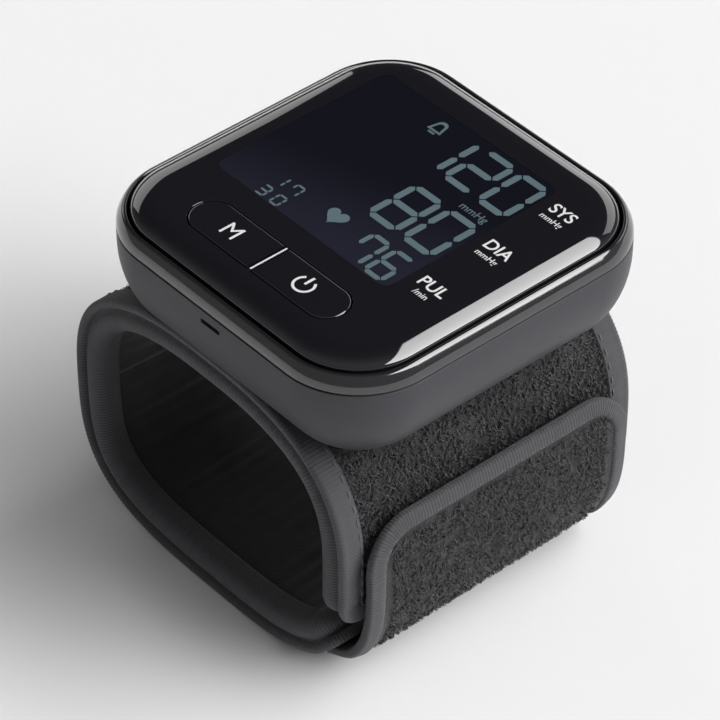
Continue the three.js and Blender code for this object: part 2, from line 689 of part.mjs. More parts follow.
const tongueY = portY - PORT_BACK / 2;
const portTongue = block(PORT_X, tongueY, portZ, PORT_TONGUE, tongueLength, 2 * PORT_SHELL);
add('charge_port', bareSteel, fuse(port, portTongue));

// Sounder behind the slot in the front wall
const sounderY = SOUNDER_SET - INNER_Y;
add('sounder', brassDisc, rod('y', SOUNDER_RADIUS, SOUNDER_THICK, 0, sounderY, sounderZ));

// Air path: motor and pump head, release valve, pressure sensor, manifold and cuff nozzle
const pumpZ = atDepth(PUMP_DEPTH);
const motorMiddle = motorFront + MOTOR_LENGTH / 2;
const motor = fuse(
  rod('y', PUMP_RADIUS, MOTOR_LENGTH, PUMP_X, motorMiddle, pumpZ),
  rod('y', BEARING_RADIUS, 2 * BEARING_LENGTH, PUMP_X, motorFront, pumpZ, 16),
);
add('pump_motor', bareSteel, motor);
const pumpHead = fuse(
  rod('y', PUMP_RADIUS, PUMP_LENGTH, PUMP_X, (pumpFront + pumpRear) / 2, pumpZ),
  rod('y', BEARING_RADIUS, 2 * BEARING_LENGTH, PUMP_X, pumpRear, pumpZ, 16),
);
add('pump_head', whitePlastic, pumpHead);
const valveFront = pumpRear + VALVE_GAP;
const valveMiddle = valveFront + VALVE_LENGTH / 2;
const valveZ = atDepth(HANG_DEPTH + VALVE_HEIGHT / 2);
const valveBody = block(PUMP_X, valveMiddle, valveZ, VALVE_WIDTH, VALVE_LENGTH, VALVE_HEIGHT);
const valveNose = rod('y', BEARING_RADIUS, BEARING_LENGTH, PUMP_X, valveFront, valveZ, 16);
add('release_valve', bareSteel, fuse(valveBody, valveNose));
const sensorLow = atDepth(HANG_DEPTH + SENSOR_THICK);
const sensorZ = sensorLow + SENSOR_THICK / 2;
const sensorBody = block(NOZZLE_X, SENSOR_Y, sensorZ, SENSOR_SIZE, SENSOR_SIZE, SENSOR_THICK);
const nipple = post(NIPPLE_RADIUS, NOZZLE_X, SENSOR_Y, sensorLow - NIPPLE_LENGTH, sensorZ, 16);
add('pressure_sensor', blackPlastic, fuse(sensorBody, nipple));

const trunkZ = atDepth(HANG_DEPTH + TUBE_DROP);
const branchZ = sensorLow - SEAT - BRANCH_RADIUS;
const pumpTapY = pumpRear - PUMP_LENGTH / 2;
const valveTapY = valveFront + VALVE_TAP;
const nozzleEnd = NOZZLE_X + NOZZLE_RADIUS + SEAT;
const sensorEnd = NOZZLE_X + NIPPLE_RADIUS + SEAT;
const pumpReach = PUMP_X - PUMP_RADIUS - SEAT;
const valveEnd = PUMP_X - VALVE_WIDTH / 2 - SEAT;
const trunkFront = NOZZLE_Y - TUBE_RADIUS;
const trunkRear = valveTapY + TUBE_RADIUS;
const trunkSpan = trunkRear - trunkFront;
const trunkMiddle = (trunkRear + trunkFront) / 2;
// The trunk and its branches, drawn for their outside or, a little longer, for their bore.
function airWays(trunk, branch, extra) {
  const along = (end, y, z) => {
    const reach = end - TRUNK_X + Math.sign(end - TRUNK_X) * extra;
    return rod('x', branch, Math.abs(reach), TRUNK_X + reach / 2, y, z, 16);
  };
  return fuse(
    rod('y', trunk, trunkSpan - 2 * extra, TRUNK_X, trunkMiddle, trunkZ, 16),
    along(pumpReach, pumpTapY, trunkZ),
    along(valveEnd, valveTapY, trunkZ),
    along(sensorEnd, SENSOR_Y, branchZ),
    along(nozzleEnd, NOZZLE_Y, trunkZ),
  );
}
const tubes = airWays(TUBE_RADIUS, BRANCH_RADIUS, 0);
const bores = airWays(TUBE_BORE, BRANCH_BORE, TUBE_RADIUS - TUBE_BORE);
add('air_manifold', siliconeTube, cut(tubes, bores));
const nozzleLow = ringTopAt(NOZZLE_X, BLADDER_IN) + LAYER_GAP;
const nozzleHigh = trunkZ + TUBE_RADIUS;
const nozzle = cut(
  post(NOZZLE_RADIUS, NOZZLE_X, NOZZLE_Y, nozzleLow, nozzleHigh),
  post(NOZZLE_RADIUS - NOZZLE_WALL, NOZZLE_X, NOZZLE_Y, nozzleLow - NOZZLE_WALL, nozzleHigh - NOZZLE_WALL),
);
add('bladder_nozzle', siliconeTube, nozzle);

// Cuff: the upper arm carries the head, the lower arm stands on the table
const turnOf = (length) => (length / RING_HALF_WIDTH) * (180 / Math.PI);
const innerWidth = CUFF_WIDTH - 2 * (TAPE + LAYER_GAP);
const endTurn = turnOf(TAPE + LAYER_GAP);
const splitTurn = turnOf(SPLIT_GAP / 2);
const upperFrom = SHORT_END + endTurn;
const upperTo = SPLIT - splitTurn;
const lowerFrom = SPLIT + splitTurn;
const longEnd = LONG_END + 360;
const lowerTo = longEnd - endTurn;
const layer = (from, to, inset, thick, width = innerWidth) => sheet(from, to, inset, inset + thick, width);

// Edge tape folded over both long edges and one end of a cuff arm.
function edgeTape(from, to, stackFrom, stackTo, windowFrom, windowTo) {
  return cut(
    sheet(from, to, 0, CUFF_THICK, CUFF_WIDTH),
    sheet(stackFrom, stackTo, TAPE, CUFF_THICK - TAPE, CUFF_WIDTH - 2 * TAPE),
    sheet(windowFrom, windowTo, -1, CUFF_THICK + 1, CUFF_WIDTH - 2 * TAPE_REACH),
  );
}

const tapeTurn = turnOf(TAPE);
const reachTurn = turnOf(TAPE_REACH);
const upperTape = edgeTape(
  SHORT_END,
  upperTo,
  SHORT_END + tapeTurn,
  SPLIT + 1,
  SHORT_END + reachTurn,
  SPLIT + 1,
);
const lowerTape = edgeTape(
  lowerFrom,
  longEnd,
  SPLIT - 1,
  longEnd - tapeTurn,
  SPLIT - 1,
  longEnd - reachTurn,
);
const bladderFrom = SHORT_END + BLADDER_END;
const bladder = layer(bladderFrom, SPLIT - BLADDER_END, BLADDER_IN, BLADDER, BLADDER_WIDTH);
const ground = block(0, 0, -CUFF_THICK, 4 * RING_HALF_WIDTH, 2 * CUFF_WIDTH, 2 * CUFF_THICK);
const cuffHoles = [nozzleHole, ...cuffScrewHoles];
add('upper_cover', pileFabric, cut(layer(upperFrom, upperTo, COVER_IN, COVER), ...cuffHoles));
add('upper_core', stiffSheet, cut(layer(upperFrom, upperTo, CORE_IN, CORE), ...cuffHoles));
add('air_bladder', bladderFilm, bladder);
add('upper_lining', liningFabric, layer(upperFrom, upperTo, LINING_IN, LINING));
add('upper_tape', tapeFabric, upperTape);
cuffScrews.forEach(([x, y], index) => {
  const under = ringTopAt(x, BLADDER_IN) - LAYER_GAP;
  const headLow = under - CUFF_SCREW_THICK;
  const head = post(CUFF_SCREW_HEAD, x, y, headLow, under);
  const shank = post(SCREW_RADIUS, x, y, under - CUFF_SCREW_THICK / 2, bossTop - SEAT, 16);
  add(`cuff_screw_${index + 1}`, bareSteel, fuse(head, shank));
});
add('lower_cover', pileFabric, layer(lowerFrom, lowerTo, COVER_IN, COVER));
add('lower_core', stiffSheet, layer(lowerFrom, lowerTo, CORE_IN, CORE));
add('lower_pad', foamPad, layer(SPLIT + PAD_END, longEnd - PAD_END, BLADDER_IN, BLADDER));
add('lower_lining', liningFabric, layer(lowerFrom, lowerTo, LINING_IN, LINING));
add('lower_tape', tapeFabric, cut(lowerTape, ground));

// Closing flap: sewn to the lower arm at its root, held to the short end by hook tape
const flapTop = ringPoint(FLAP_TIP, -FLAP_FACE).y;
const flapBase = ringPoint(LONG_END, -FLAP_FACE).y;
const flapOutline = new THREE.Shape();
flapOutline.moveTo(FLAP_WIDTH / 2, flapBase - FLAP_WIDTH);
flapOutline.lineTo(FLAP_WIDTH / 2, flapTop - FLAP_CORNER);
flapOutline.absarc(FLAP_WIDTH / 2 - FLAP_CORNER, flapTop - FLAP_CORNER, FLAP_CORNER, 0, Math.PI / 2);
flapOutline.absarc(FLAP_CORNER - FLAP_WIDTH / 2, flapTop - FLAP_CORNER, FLAP_CORNER, Math.PI / 2, Math.PI);
flapOutline.lineTo(-FLAP_WIDTH / 2, flapBase - FLAP_WIDTH);
const outlineOptions = { depth: 2 * RING_HALF_WIDTH, bevelEnabled: false, curveSegments: ARC_STEPS };
const outlineGeometry = new THREE.ExtrudeGeometry(flapOutline, outlineOptions);
const flapCookie = turnedToX(outlineGeometry);
const flapFrom = LONG_END + turnOf(SEAT);
add('flap_root', pileFabric, sheet(FLAP_ROOT, LONG_END, -FLAP_FACE, -HOOK_GAP, FLAP_WIDTH));
const strap = sheet(flapFrom, FLAP_TIP, -FLAP_FACE, -FLAP_OUT, FLAP_WIDTH).intersect(flapCookie);
add('flap_strap', pileFabric, strap);
const hookTurn = turnOf(HOOK_BORDER);
const hookWidth = FLAP_WIDTH - 2 * HOOK_BORDER;
const hooks = sheet(SHORT_END, FLAP_TIP - hookTurn, LAYER_GAP - FLAP_OUT, -HOOK_GAP, hookWidth);
add('hook_patch', hookNylon, hooks);

export default monitor;
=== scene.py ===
"""Looks of a wrist blood pressure monitor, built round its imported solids.

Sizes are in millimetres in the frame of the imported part: +X runs to the right across the display, +Y runs
up the display and along the wrist, and +Z points up out of the display. Meshes are written in metres.
"""

from __future__ import annotations

import json
import logging
import math
from collections.abc import Sequence
from dataclasses import dataclass
from enum import Enum

import bpy
import numpy as np
from mathutils import Matrix, Vector
from mathutils.geometry import delaunay_2d_cdt

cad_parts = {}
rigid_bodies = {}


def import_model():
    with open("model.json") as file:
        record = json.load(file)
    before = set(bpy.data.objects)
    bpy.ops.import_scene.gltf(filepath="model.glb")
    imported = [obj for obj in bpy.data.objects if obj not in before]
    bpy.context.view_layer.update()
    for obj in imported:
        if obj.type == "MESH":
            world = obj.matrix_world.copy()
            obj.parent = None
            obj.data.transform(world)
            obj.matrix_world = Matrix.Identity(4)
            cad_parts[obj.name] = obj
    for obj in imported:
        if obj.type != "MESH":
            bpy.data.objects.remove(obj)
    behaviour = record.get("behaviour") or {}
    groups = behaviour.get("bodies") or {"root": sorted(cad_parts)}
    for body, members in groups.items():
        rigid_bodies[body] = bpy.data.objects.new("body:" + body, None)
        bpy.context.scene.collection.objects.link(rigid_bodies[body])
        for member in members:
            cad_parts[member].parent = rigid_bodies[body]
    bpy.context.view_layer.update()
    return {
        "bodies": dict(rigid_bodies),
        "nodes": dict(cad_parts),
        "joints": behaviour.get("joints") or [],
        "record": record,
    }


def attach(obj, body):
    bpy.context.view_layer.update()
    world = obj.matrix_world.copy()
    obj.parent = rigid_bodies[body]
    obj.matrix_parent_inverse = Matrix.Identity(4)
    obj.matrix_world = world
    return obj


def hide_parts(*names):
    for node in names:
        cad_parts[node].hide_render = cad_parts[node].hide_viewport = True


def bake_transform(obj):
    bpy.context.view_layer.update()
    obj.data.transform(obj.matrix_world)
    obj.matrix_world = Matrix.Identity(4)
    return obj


log = logging.getLogger("wrist_monitor")

MM = 0.001
HEAD_X = 3.65  # middle of the head in the frame of the part
FACE_Z = 72.05  # height of the flat of the front panel
KEYS_Y = -22.7  # middle of the keys
SAME_PLACE = 1e-6  # distance at which two points count as one
SMOOTH = 180.0  # crease that leaves no edge sharp

Place = tuple[float, float]  # a pair of numbers: two angles, two ends or a range
Triple = tuple[float, float, float]
Arrays = tuple[np.ndarray, np.ndarray]
Socket = bpy.types.NodeSocket
Value = Socket | float | Sequence[float]


# Materials


class Texture(Enum):
    """The kind of surface that a finish draws with its nodes."""

    PLAIN = "plain"
    DISPLAY = "display"
    PILE = "pile"
    RIBBED = "ribbed"
    KNIT = "knit"


THREADS = {Texture.RIBBED: ("X", 2.2), Texture.KNIT: ("DIAGONAL", 1.4)}  # direction, threads per millimetre
THREAD_GRAIN = 0.45  # share of the grain in the height of the threads
THREAD_SWAY = 0.6
LEAST_ROUGHNESS = 0.02
BROAD_SIZE = 24.0  # size of the broad noise in grains
GRAIN_DETAIL, BROAD_DETAIL = 4.0, 2.0  # levels of finer grain in the two noises
GRAIN_SHARE, BROAD_SHARE = 0.7, 0.3  # how the two noises add up
DISPLAY_TURN = -75.0  # direction in which the painted shade on the display lifts, in degrees
DISPLAY_MIDDLE = 2.0  # place along Y from which its fade is measured
DISPLAY_FADE = (-6.0, 16.0)  # where it starts and ends, in millimetres
DISPLAY_PAINTED_SHADE = 0.42  # share of the colour left in the half that is painted in shade


@dataclass(frozen=True)
class Graph:
    """A node tree, and a short way to add nodes to it."""

    tree: bpy.types.NodeTree

    def add(self, kind: str, result: str, inputs: dict[str | int, Value], **options: str) -> Socket:
        """Adds a node with its options and its inputs.

        Args:
            kind: Kind of the node.
            result: Name of the output that is wanted.
            inputs: A value, or a socket to link, for inputs by name or number.
            options: The node's own settings.

        Returns:
            The output.
        """
        node = self.tree.nodes.new(f"ShaderNode{kind}")
        for name, option in options.items():
            setattr(node, name, option)
        for name, value in inputs.items():
            self.put(node.inputs[name], value)
        return node.outputs[result]

    def put(self, socket: Socket, value: Value) -> None:
        """Gives an input a value, or links another socket to it.

        Args:
            socket: The input.
            value: The value or the other socket.
        """
        if isinstance(value, Socket):
            self.tree.links.new(value, socket)
        else:
            socket.default_value = value

    def ramp(self, value: Socket, source: Place, target: Place, smooth: bool = False) -> Socket:
        """Carries one range of values over to another, and eases in and out of it if it is smooth."""
        ends = dict(zip(("From Min", "From Max", "To Min", "To Max"), (*source, *target)), Value=value)
        return self.add("MapRange", "Result", ends, interpolation_type="SMOOTHSTEP" if smooth else "LINEAR")

    def work_out(self, operation: str, *values: Value) -> Socket:
        """Works out one sum of sockets or numbers."""
        return self.add("Math", "Value", dict(enumerate(values)), operation=operation)


@dataclass(frozen=True)
class Finish:
    """A material: its colour, its gloss, and the grain that its nodes draw."""

    name: str
    colour: tuple[int, int, int]
    roughness: float
    texture: Texture = Texture.PLAIN
    metallic: float = 0.0
    specular: float = 0.5
    coat: float = 0.0
    coat_roughness: float = 0.03
    sheen: float = 0.0
    sheen_roughness: float = 0.5
    grain: float = 0.2  # size of the grain, in millimetres
    relief: float = 0.0  # depth of the grain, in millimetres
    shade: float = 0.1  # share by which the colour varies
    glow: float = 0.0

    def linear(self, factor: float = 1.0) -> tuple[float, float, float, float]:
        """Gives the colour as linear light.

        Args:
            factor: Share by which the colour is made darker or lighter.

        Returns:
            Red, green, blue and alpha.
        """
        encoded = np.array(self.colour) / 255.0
        light = np.where(encoded <= 0.04045, encoded / 12.92, ((encoded + 0.055) / 1.055) ** 2.4)
        return (*(np.clip(light * factor, 0, 1).tolist()), 1.0)

    def build(self) -> bpy.types.Material:
        """Builds the material with its nodes.

        Returns:
            The material.
        """
        material = bpy.data.materials.new(self.name)
        material.use_nodes = True
        material.diffuse_color = self.linear()
        graph = Graph(material.node_tree)
        values = {
            "Metallic": self.metallic,
            "Specular IOR Level": self.specular,
            "Coat Weight": self.coat,
            "Coat Roughness": self.coat_roughness,
            "Sheen Weight": self.sheen,
            "Sheen Roughness": self.sheen_roughness,
        }
        if self.glow:
            values |= {"Emission Color": self.linear(), "Emission Strength": self.glow}
        values |= self._display(graph) if self.texture is Texture.DISPLAY else self._grained(graph)
        for name, value in values.items():
            graph.put(material.node_tree.nodes["Principled BSDF"].inputs[name], value)
        return material

    def _grained(self, graph: Graph) -> dict[str, Value]:
        """Draws a grain in the colour, the roughness and the bump.

        The grain is a noise of the finish's own size. Ribbed and knitted cloth add waves that follow the UV
        map, and the pile takes its tone from each loop of yarn.

        Args:
            graph: The material's nodes.

        Returns:
            What goes into the shader, by the names of its inputs.
        """
        where = graph.add("TexCoord", "Object", {})
        grain, broad = (
            graph.add("TexNoise", "Fac", {"Scale": 1.0 / (size * MM), "Detail": detail, "Vector": where})
            for size, detail in ((self.grain, GRAIN_DETAIL), (BROAD_SIZE * self.grain, BROAD_DETAIL))
        )
        height = grain
        if self.texture in THREADS:
            direction, count = THREADS[self.texture]
            cloth = {"Scale": count, "Distortion": THREAD_SWAY, "Vector": graph.add("TexCoord", "UV", {})}
            wave = graph.add("TexWave", "Fac", cloth, bands_direction=direction)
            height = graph.add("Mix", "Result", {"Factor": THREAD_GRAIN, "A": wave, "B": grain})
        if self.texture is Texture.PILE:
            # A surface without a tone, such as the padding under the loops, takes the darkest tone: painted
            # shade deep in the pile.
            factor = graph.add("Attribute", "Fac", {}, attribute_name="tone")
        else:
            share = graph.work_out("MULTIPLY", broad, BROAD_SHARE)
            factor = graph.work_out("MULTIPLY_ADD", height, GRAIN_SHARE, share)
        low, high = 1.0 - self.shade, 1.0 + self.shade
        ends = (max(LEAST_ROUGHNESS, self.roughness * low), min(1.0, self.roughness * high))
        roughness = graph.ramp(broad, (0.0, 1.0), ends)
        inputs = {"Base Color": self._tone(graph, (low, high), factor), "Roughness": roughness}
        if self.relief:
            bump = {"Distance": self.relief * MM, "Height": height}
            inputs["Normal"] = graph.add("Bump", "Normal", bump)
        return inputs

    def _display(self, graph: Graph) -> dict[str, Value]:
        """Paints shade on the display: nearly black in its upper half, where it is painted in shade, and a
        greyish blue towards its lower edge.

        Args:
            graph: The material's nodes.

        Returns:
            What goes into the shader, by the names of its inputs.
        """
        place = {
            "Location": (HEAD_X * MM, DISPLAY_MIDDLE * MM, 0.0),
            "Rotation": (0.0, 0.0, math.radians(DISPLAY_TURN)),
            "Vector": graph.add("TexCoord", "Object", {}),
        }
        turned = graph.add("Mapping", "Vector", place, vector_type="TEXTURE")
        along = graph.add("SeparateXYZ", "X", {"Vector": turned})
        ends = (DISPLAY_FADE[0] * MM, DISPLAY_FADE[1] * MM)
        fade = graph.ramp(along, ends, (0.0, 1.0), smooth=True)
        return {"Base Color": self._tone(graph, (DISPLAY_PAINTED_SHADE, 1.0), fade), "Roughness": self.roughness}

    def _tone(self, graph: Graph, shares: Place, factor: Socket) -> Socket:
        """Mixes two shades, given as shares of the colour, by a factor from 0 to 1."""
        first, last = map(self.linear, shares)
        return graph.add("Mix", "Result", {"Factor": factor, "A": first, "B": last}, data_type="RGBA")


class Finishes:
    """The finishes of the monitor, each built once."""

    TABLE = (
        Finish("gloss_black", (21, 20, 25), 0.05, coat=1.0, grain=3.0, shade=0.12),
        Finish("flat_black", (25, 24, 29), 0.1, specular=0.06, grain=3.0, shade=0.12),
        # The smoked lens carries painted shade: its colour is darkened over the upper half of the display.
        Finish("smoked_lens", (34, 35, 46), 0.1, Texture.DISPLAY, specular=0.06),
        Finish("satin_trim", (26, 26, 29), 0.1, specular=0.8, coat=0.6, grain=0.12, relief=0.001),
        Finish("matt_housing", (58, 56, 61), 0.46, specular=0.35, grain=0.14, relief=0.008, shade=0.06),
        Finish("lcd_glass", (30, 33, 48), 0.2, grain=2.0),
        Finish("white_plastic", (226, 226, 224), 0.45, grain=0.3),
        Finish("clear_plastic", (222, 230, 234), 0.25, grain=0.5),
        Finish("board", (31, 90, 58), 0.5, grain=0.5, relief=0.02),
        Finish("flex_film", (160, 106, 44), 0.4, grain=0.5),
        Finish("steel", (185, 188, 192), 0.3, metallic=1.0, grain=0.3, relief=0.003),
        Finish("black_plastic", (27, 27, 29), 0.5, grain=0.2, relief=0.006),
        Finish("pouch_foil", (154, 157, 161), 0.4, metallic=0.8, grain=0.6, relief=0.02),
        Finish("silicone", (214, 212, 204), 0.55, grain=0.4, relief=0.01),
        Finish("brass", (176, 141, 74), 0.35, metallic=1.0, grain=0.3),
        Finish("loop_pile", (52, 50, 54), 0.95, Texture.PILE, sheen=0.12, grain=0.35, relief=0.3, shade=0.85),
        Finish(
            "edge_tape", (66, 65, 69), 0.75, Texture.RIBBED, sheen=0.15, grain=0.15, relief=0.05, shade=0.25
        ),
        Finish("lining", (26, 25, 28), 0.75, Texture.KNIT, sheen=0.2, grain=0.2, relief=0.06, shade=0.3),
        Finish("core_sheet", (141, 144, 148), 0.5, grain=0.3),
        Finish("bladder_film", (109, 111, 116), 0.4, grain=0.5, relief=0.02),
        Finish("foam", (60, 60, 63), 0.9, grain=0.4, relief=0.1),
        Finish("hook_tape", (27, 27, 29), 0.7, grain=0.3, relief=0.15, shade=0.3),
        Finish("printing", (224, 224, 224), 0.4, grain=0.15, shade=0.06),
        Finish("segment", (87, 104, 110), 0.2, specular=0.06, grain=0.4, shade=0.08, glow=0.1),
        Finish("thread", (92, 91, 95), 0.7, sheen=0.2, grain=0.12, relief=0.03, shade=0.25),
        Finish("floor", (240, 240, 240), 0.85, specular=0.0, grain=6.0, shade=0.004),
    )

    def __init__(self) -> None:
        """Builds every finish."""
        self.made = {finish.name: finish.build() for finish in self.TABLE}

    def __getitem__(self, name: str) -> bpy.types.Material:
        """Gives a finish by its name."""
        return self.made[name]

    def dress_nodes(self, frame: dict) -> None:
        """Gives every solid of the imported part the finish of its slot.
        """
        slots = {row["node"]: row["material_slot"] for row in frame["record"]["subparts"]}
        for name, node in frame["nodes"].items():
            node.data.materials.clear()
            node.data.materials.append(self[slots[name]])


# Meshes


@dataclass
class Patch:
    """Points and faces of one surface before it becomes part of a mesh."""

    points: np.ndarray
    faces: np.ndarray
    uv: np.ndarray
    material: int = 0
    tone: np.ndarray | None = None


def grid(points: np.ndarray, ring: bool = False, flip: bool = False, uv: np.ndarray | None = None) -> Patch:
    """Joins a grid of points with four-sided faces.

    A face runs from a point along its row and then to the next row, so its outside is the side where the
    columns turn into the rows by the right-hand rule.

    Args:
        points: Rows by columns by three.
        ring: True if each row is a closed loop.
        flip: True to turn the faces round.
        uv: Rows by columns by two, or none for the first two coordinates.

    Returns:
        The patch.
    """
    rows, columns = points.shape[:2]
    index = np.arange(rows * columns).reshape(rows, columns)
    right = np.roll(index, -1, axis=1)
    if not ring:
        index, right = index[:, :-1], right[:, :-1]
    faces = np.stack([index[:-1], right[:-1], right[1:], index[1:]], axis=-1).reshape(-1, 4)
    flat = points.reshape(-1, 3)
    return Patch(flat, faces[:, ::-1] if flip else faces, flat[:, :2] if uv is None else uv.reshape(-1, 2))


def fan(loop: np.ndarray, uv: np.ndarray, flip: bool = False, material: int = 0) -> Patch:
    """Fills a loop with triangles from its first point.

    Args:
        loop: Points by three.
        uv: Points by two.
        flip: True to turn the faces round.
        material: Number of the finish.

    Returns:
        The patch.
    """
    ahead = np.arange(1, len(loop) - 1)
    faces = np.column_stack([np.zeros_like(ahead), ahead, ahead + 1])
    return Patch(loop, faces[:, ::-1] if flip else faces, uv, material)


def ribbons(points: np.ndarray, uv: np.ndarray, tone: np.ndarray | None = None) -> Patch:
    """Joins many narrow ribbons, each of which has pairs of points along it.

    Args:
        points: Ribbons by pairs by two by three, in any number of rows of ribbons.
        uv: The same by two.
        tone: Tone of each ribbon, or none.

    Returns:
        The patch.
    """
    pairs = points.shape[-3]
    index = np.arange(points.size // 3).reshape(-1, pairs, 2)
    faces = np.stack([index[:, :-1, 0], index[:, :-1, 1], index[:, 1:, 1], index[:, 1:, 0]], axis=-1)
    tones = None if tone is None else np.repeat(tone, 2 * pairs)
    return Patch(points.reshape(-1, 3), faces.reshape(-1, 4), uv.reshape(-1, 2), tone=tones)


def way_along(points: np.ndarray) -> np.ndarray:
    """Gives the length of the way along a row of points, from the first one to each."""
    return np.concatenate([[0.0], np.cumsum(np.linalg.norm(np.diff(points, axis=0), axis=1))])


def within(points: np.ndarray, loop: np.ndarray) -> np.ndarray:
    """Tells which points lie inside a loop, by counting the edges to the right of each.

    Args:
        points: Points by two.
        loop: Points by two.

    Returns:
        True for each point inside.
    """
    after = np.roll(loop, -1, axis=0)
    x, y = points[:, None, 0], points[:, None, 1]
    crosses = (loop[:, 1] > y) != (after[:, 1] > y)
    rise = np.where(after[:, 1] == loop[:, 1], 1.0, after[:, 1] - loop[:, 1])
    at = loop[:, 0] + (after[:, 0] - loop[:, 0]) * (y - loop[:, 1]) / rise
    return (crosses & (x < at)).sum(axis=1) % 2 == 1


def level(loops: list[np.ndarray], height: float, material: int = 0) -> Patch:
    """Fills the space between an outer loop and the loops of its holes, at one height.

    Args:
        loops: The outer loop and then its holes, each points by two.
        height: Height of the surface.
        material: Number of the finish.

    Returns:
        The patch, facing up.
    """
    points = np.concatenate(loops)
    starts = np.cumsum([0] + [len(loop) for loop in loops])
    edges = [
        (start + k, start + (k + 1) % (stop - start))
        for start, stop in zip(starts[:-1], starts[1:])
        for k in range(stop - start)
    ]
    made = delaunay_2d_cdt([Vector(p) for p in points.tolist()], edges, [], 1, SAME_PLACE)
    flat = np.array([tuple(v) for v in made[0]])
    faces = np.array([tuple(f) for f in made[2]])
    for hole in loops[1:]:
        faces = faces[~within(flat[faces].mean(axis=1), hole)]
    return Patch(np.insert(flat, 2, height, axis=1), faces, flat, material)


def make_piece(
    name: str,
    patches: list[Patch],
    finishes: list[bpy.types.Material],
    crease: float = 35.0,
    weld: bool = False,
) -> bpy.types.Object:
    """Makes one object of patches.

    Args:
        name: Name of the piece.
        patches: Its surfaces.
        finishes: Materials, in the order that the patches number them.
        crease: Angle, in degrees, above which an edge stays sharp.
        weld: True to join points that lie in the same place.

    Returns:
        The object, at the origin.
    """
    starts = np.cumsum([0] + [len(patch.points) for patch in patches])
    corners = np.concatenate([(patch.faces + start).ravel() for patch, start in zip(patches, starts)])
    sizes = np.concatenate([np.full(len(patch.faces), patch.faces.shape[1]) for patch in patches])
    numbers = np.concatenate([np.full(len(patch.faces), patch.material) for patch in patches])
    mesh = bpy.data.meshes.new(name)
    mesh.vertices.add(starts[-1])
    points = np.concatenate([patch.points for patch in patches]) * MM
    mesh.vertices.foreach_set("co", points.astype(np.float32).ravel())
    mesh.loops.add(len(corners))
    mesh.loops.foreach_set("vertex_index", corners.astype(np.int32))
    mesh.polygons.add(len(sizes))
    mesh.polygons.foreach_set("loop_start", np.concatenate([[0], np.cumsum(sizes)[:-1]]).astype(np.int32))
    mesh.polygons.foreach_set("material_index", numbers.astype(np.int32))
    mesh.polygons.foreach_set("use_smooth", np.ones(len(sizes), bool))
    layer = mesh.uv_layers.new(name="Cloth")
    uv = np.concatenate([patch.uv for patch in patches])[corners]
    layer.data.foreach_set("uv", uv.astype(np.float32).ravel())
    if any(patch.tone is not None for patch in patches):
        tones = [np.zeros(len(patch.points)) if patch.tone is None else patch.tone for patch in patches]
        mesh.attributes.new("tone", "FLOAT", "POINT").data.foreach_set("value", np.concatenate(tones))
    mesh.update(calc_edges=True)
    mesh.validate()
    mesh.set_sharp_from_angle(angle=math.radians(crease))
    for finish in finishes:
        mesh.materials.append(finish)
    piece = bpy.data.objects.new(name, mesh)
    bpy.context.scene.collection.objects.link(piece)
    if weld:
        piece.modifiers.new("weld", "WELD").merge_threshold = SAME_PLACE
    return piece


def applied(piece: bpy.types.Object) -> bpy.types.Mesh:
    """Gives a new mesh of a piece with its modifiers applied."""
    return bpy.data.meshes.new_from_object(piece.evaluated_get(bpy.context.evaluated_depsgraph_get()))


def report(*pieces: bpy.types.Object) -> None:
    """Logs each piece with its number of faces."""
    for piece in pieces:
        log.info("%s: %d faces", piece.name, len(piece.data.polygons))


def carve(piece: bpy.types.Object, tools: list[bpy.types.Object], crease: float = 30.0) -> bpy.types.Object:
    """Cuts tools out of a piece and removes them.

    Args:
        piece: A closed solid.
        tools: Closed solids to take away.
        crease: Angle, in degrees, above which an edge stays sharp.

    Returns:
        The piece, with the cuts in its mesh.
    """
    for tool in tools:
        cut = piece.modifiers.new("cut", "BOOLEAN")
        cut.operation = "DIFFERENCE"
        cut.solver = "EXACT"
        cut.object = tool
    mesh = applied(piece)
    piece.modifiers.clear()
    piece.data = mesh
    for tool in tools:
        bpy.data.objects.remove(tool)
    mesh.polygons.foreach_set("use_smooth", np.ones(len(mesh.polygons), bool))
    mesh.set_sharp_from_angle(angle=math.radians(crease))
    return piece


class Outline:
    """A closed outline on the face, and rows of loops that lie inside it."""

    def loop(self, inset: float = 0.0) -> np.ndarray:
        """Gives the outline moved in by an inset, as points by two."""
        raise NotImplementedError

    def rise(self, insets: Sequence[float], depths: Sequence[float], *more: float) -> np.ndarray:
        """Stacks loops at depths below the face.

        Args:
            insets: Inset of each loop.
            depths: Depth of each loop below the face.
            more: What else the loops are made with.

        Returns:
            Loops by points by three.
        """
        loops = np.stack([self.loop(inset, *more) for inset in insets])
        heights = np.broadcast_to(FACE_Z - np.asarray(depths)[:, None, None], (*loops.shape[:2], 1))
        return np.concatenate([loops, heights], axis=-1)


@dataclass(frozen=True)
class RoundedOutline(Outline):
    """A rectangle with round corners."""

    width: float
    height: float
    corner: float
    x: float = 0.0
    y: float = 0.0
    steps: int = 20
    least: float = 0.4  # least radius of a corner

    def loop(self, inset: float = 0.0) -> np.ndarray:
        """Gives the outline moved in by an inset, counter-clockwise.

        Each corner is a quarter circle about its own middle, and straight sides join the corners.

        Args:
            inset: Distance inwards.

        Returns:
            Points by two.
        """
        radius = max(self.corner - inset, self.least)
        span = np.array([self.width, self.height]) / 2.0 - inset - radius
        turn = np.linspace(0.0, math.pi / 2.0, self.steps + 1)
        angle = turn[None, :] + np.arange(4)[:, None] * math.pi / 2.0
        side = np.array([[1, 1], [-1, 1], [-1, -1], [1, -1]]) * span
        arc = np.stack([np.cos(angle), np.sin(angle)], axis=-1) * radius + side[:, None, :]
        return arc.reshape(-1, 2) + (self.x, self.y)


def quarter_round(reach: float, drop: float, steps: int) -> Arrays:
    """Gives insets and depths along a quarter of an ellipse, from its outer, lower end inwards and up."""
    turn = np.linspace(0.0, math.pi / 2.0, steps + 1)
    return reach * (1.0 - np.cos(turn)), drop * (1.0 - np.sin(turn))


# Head


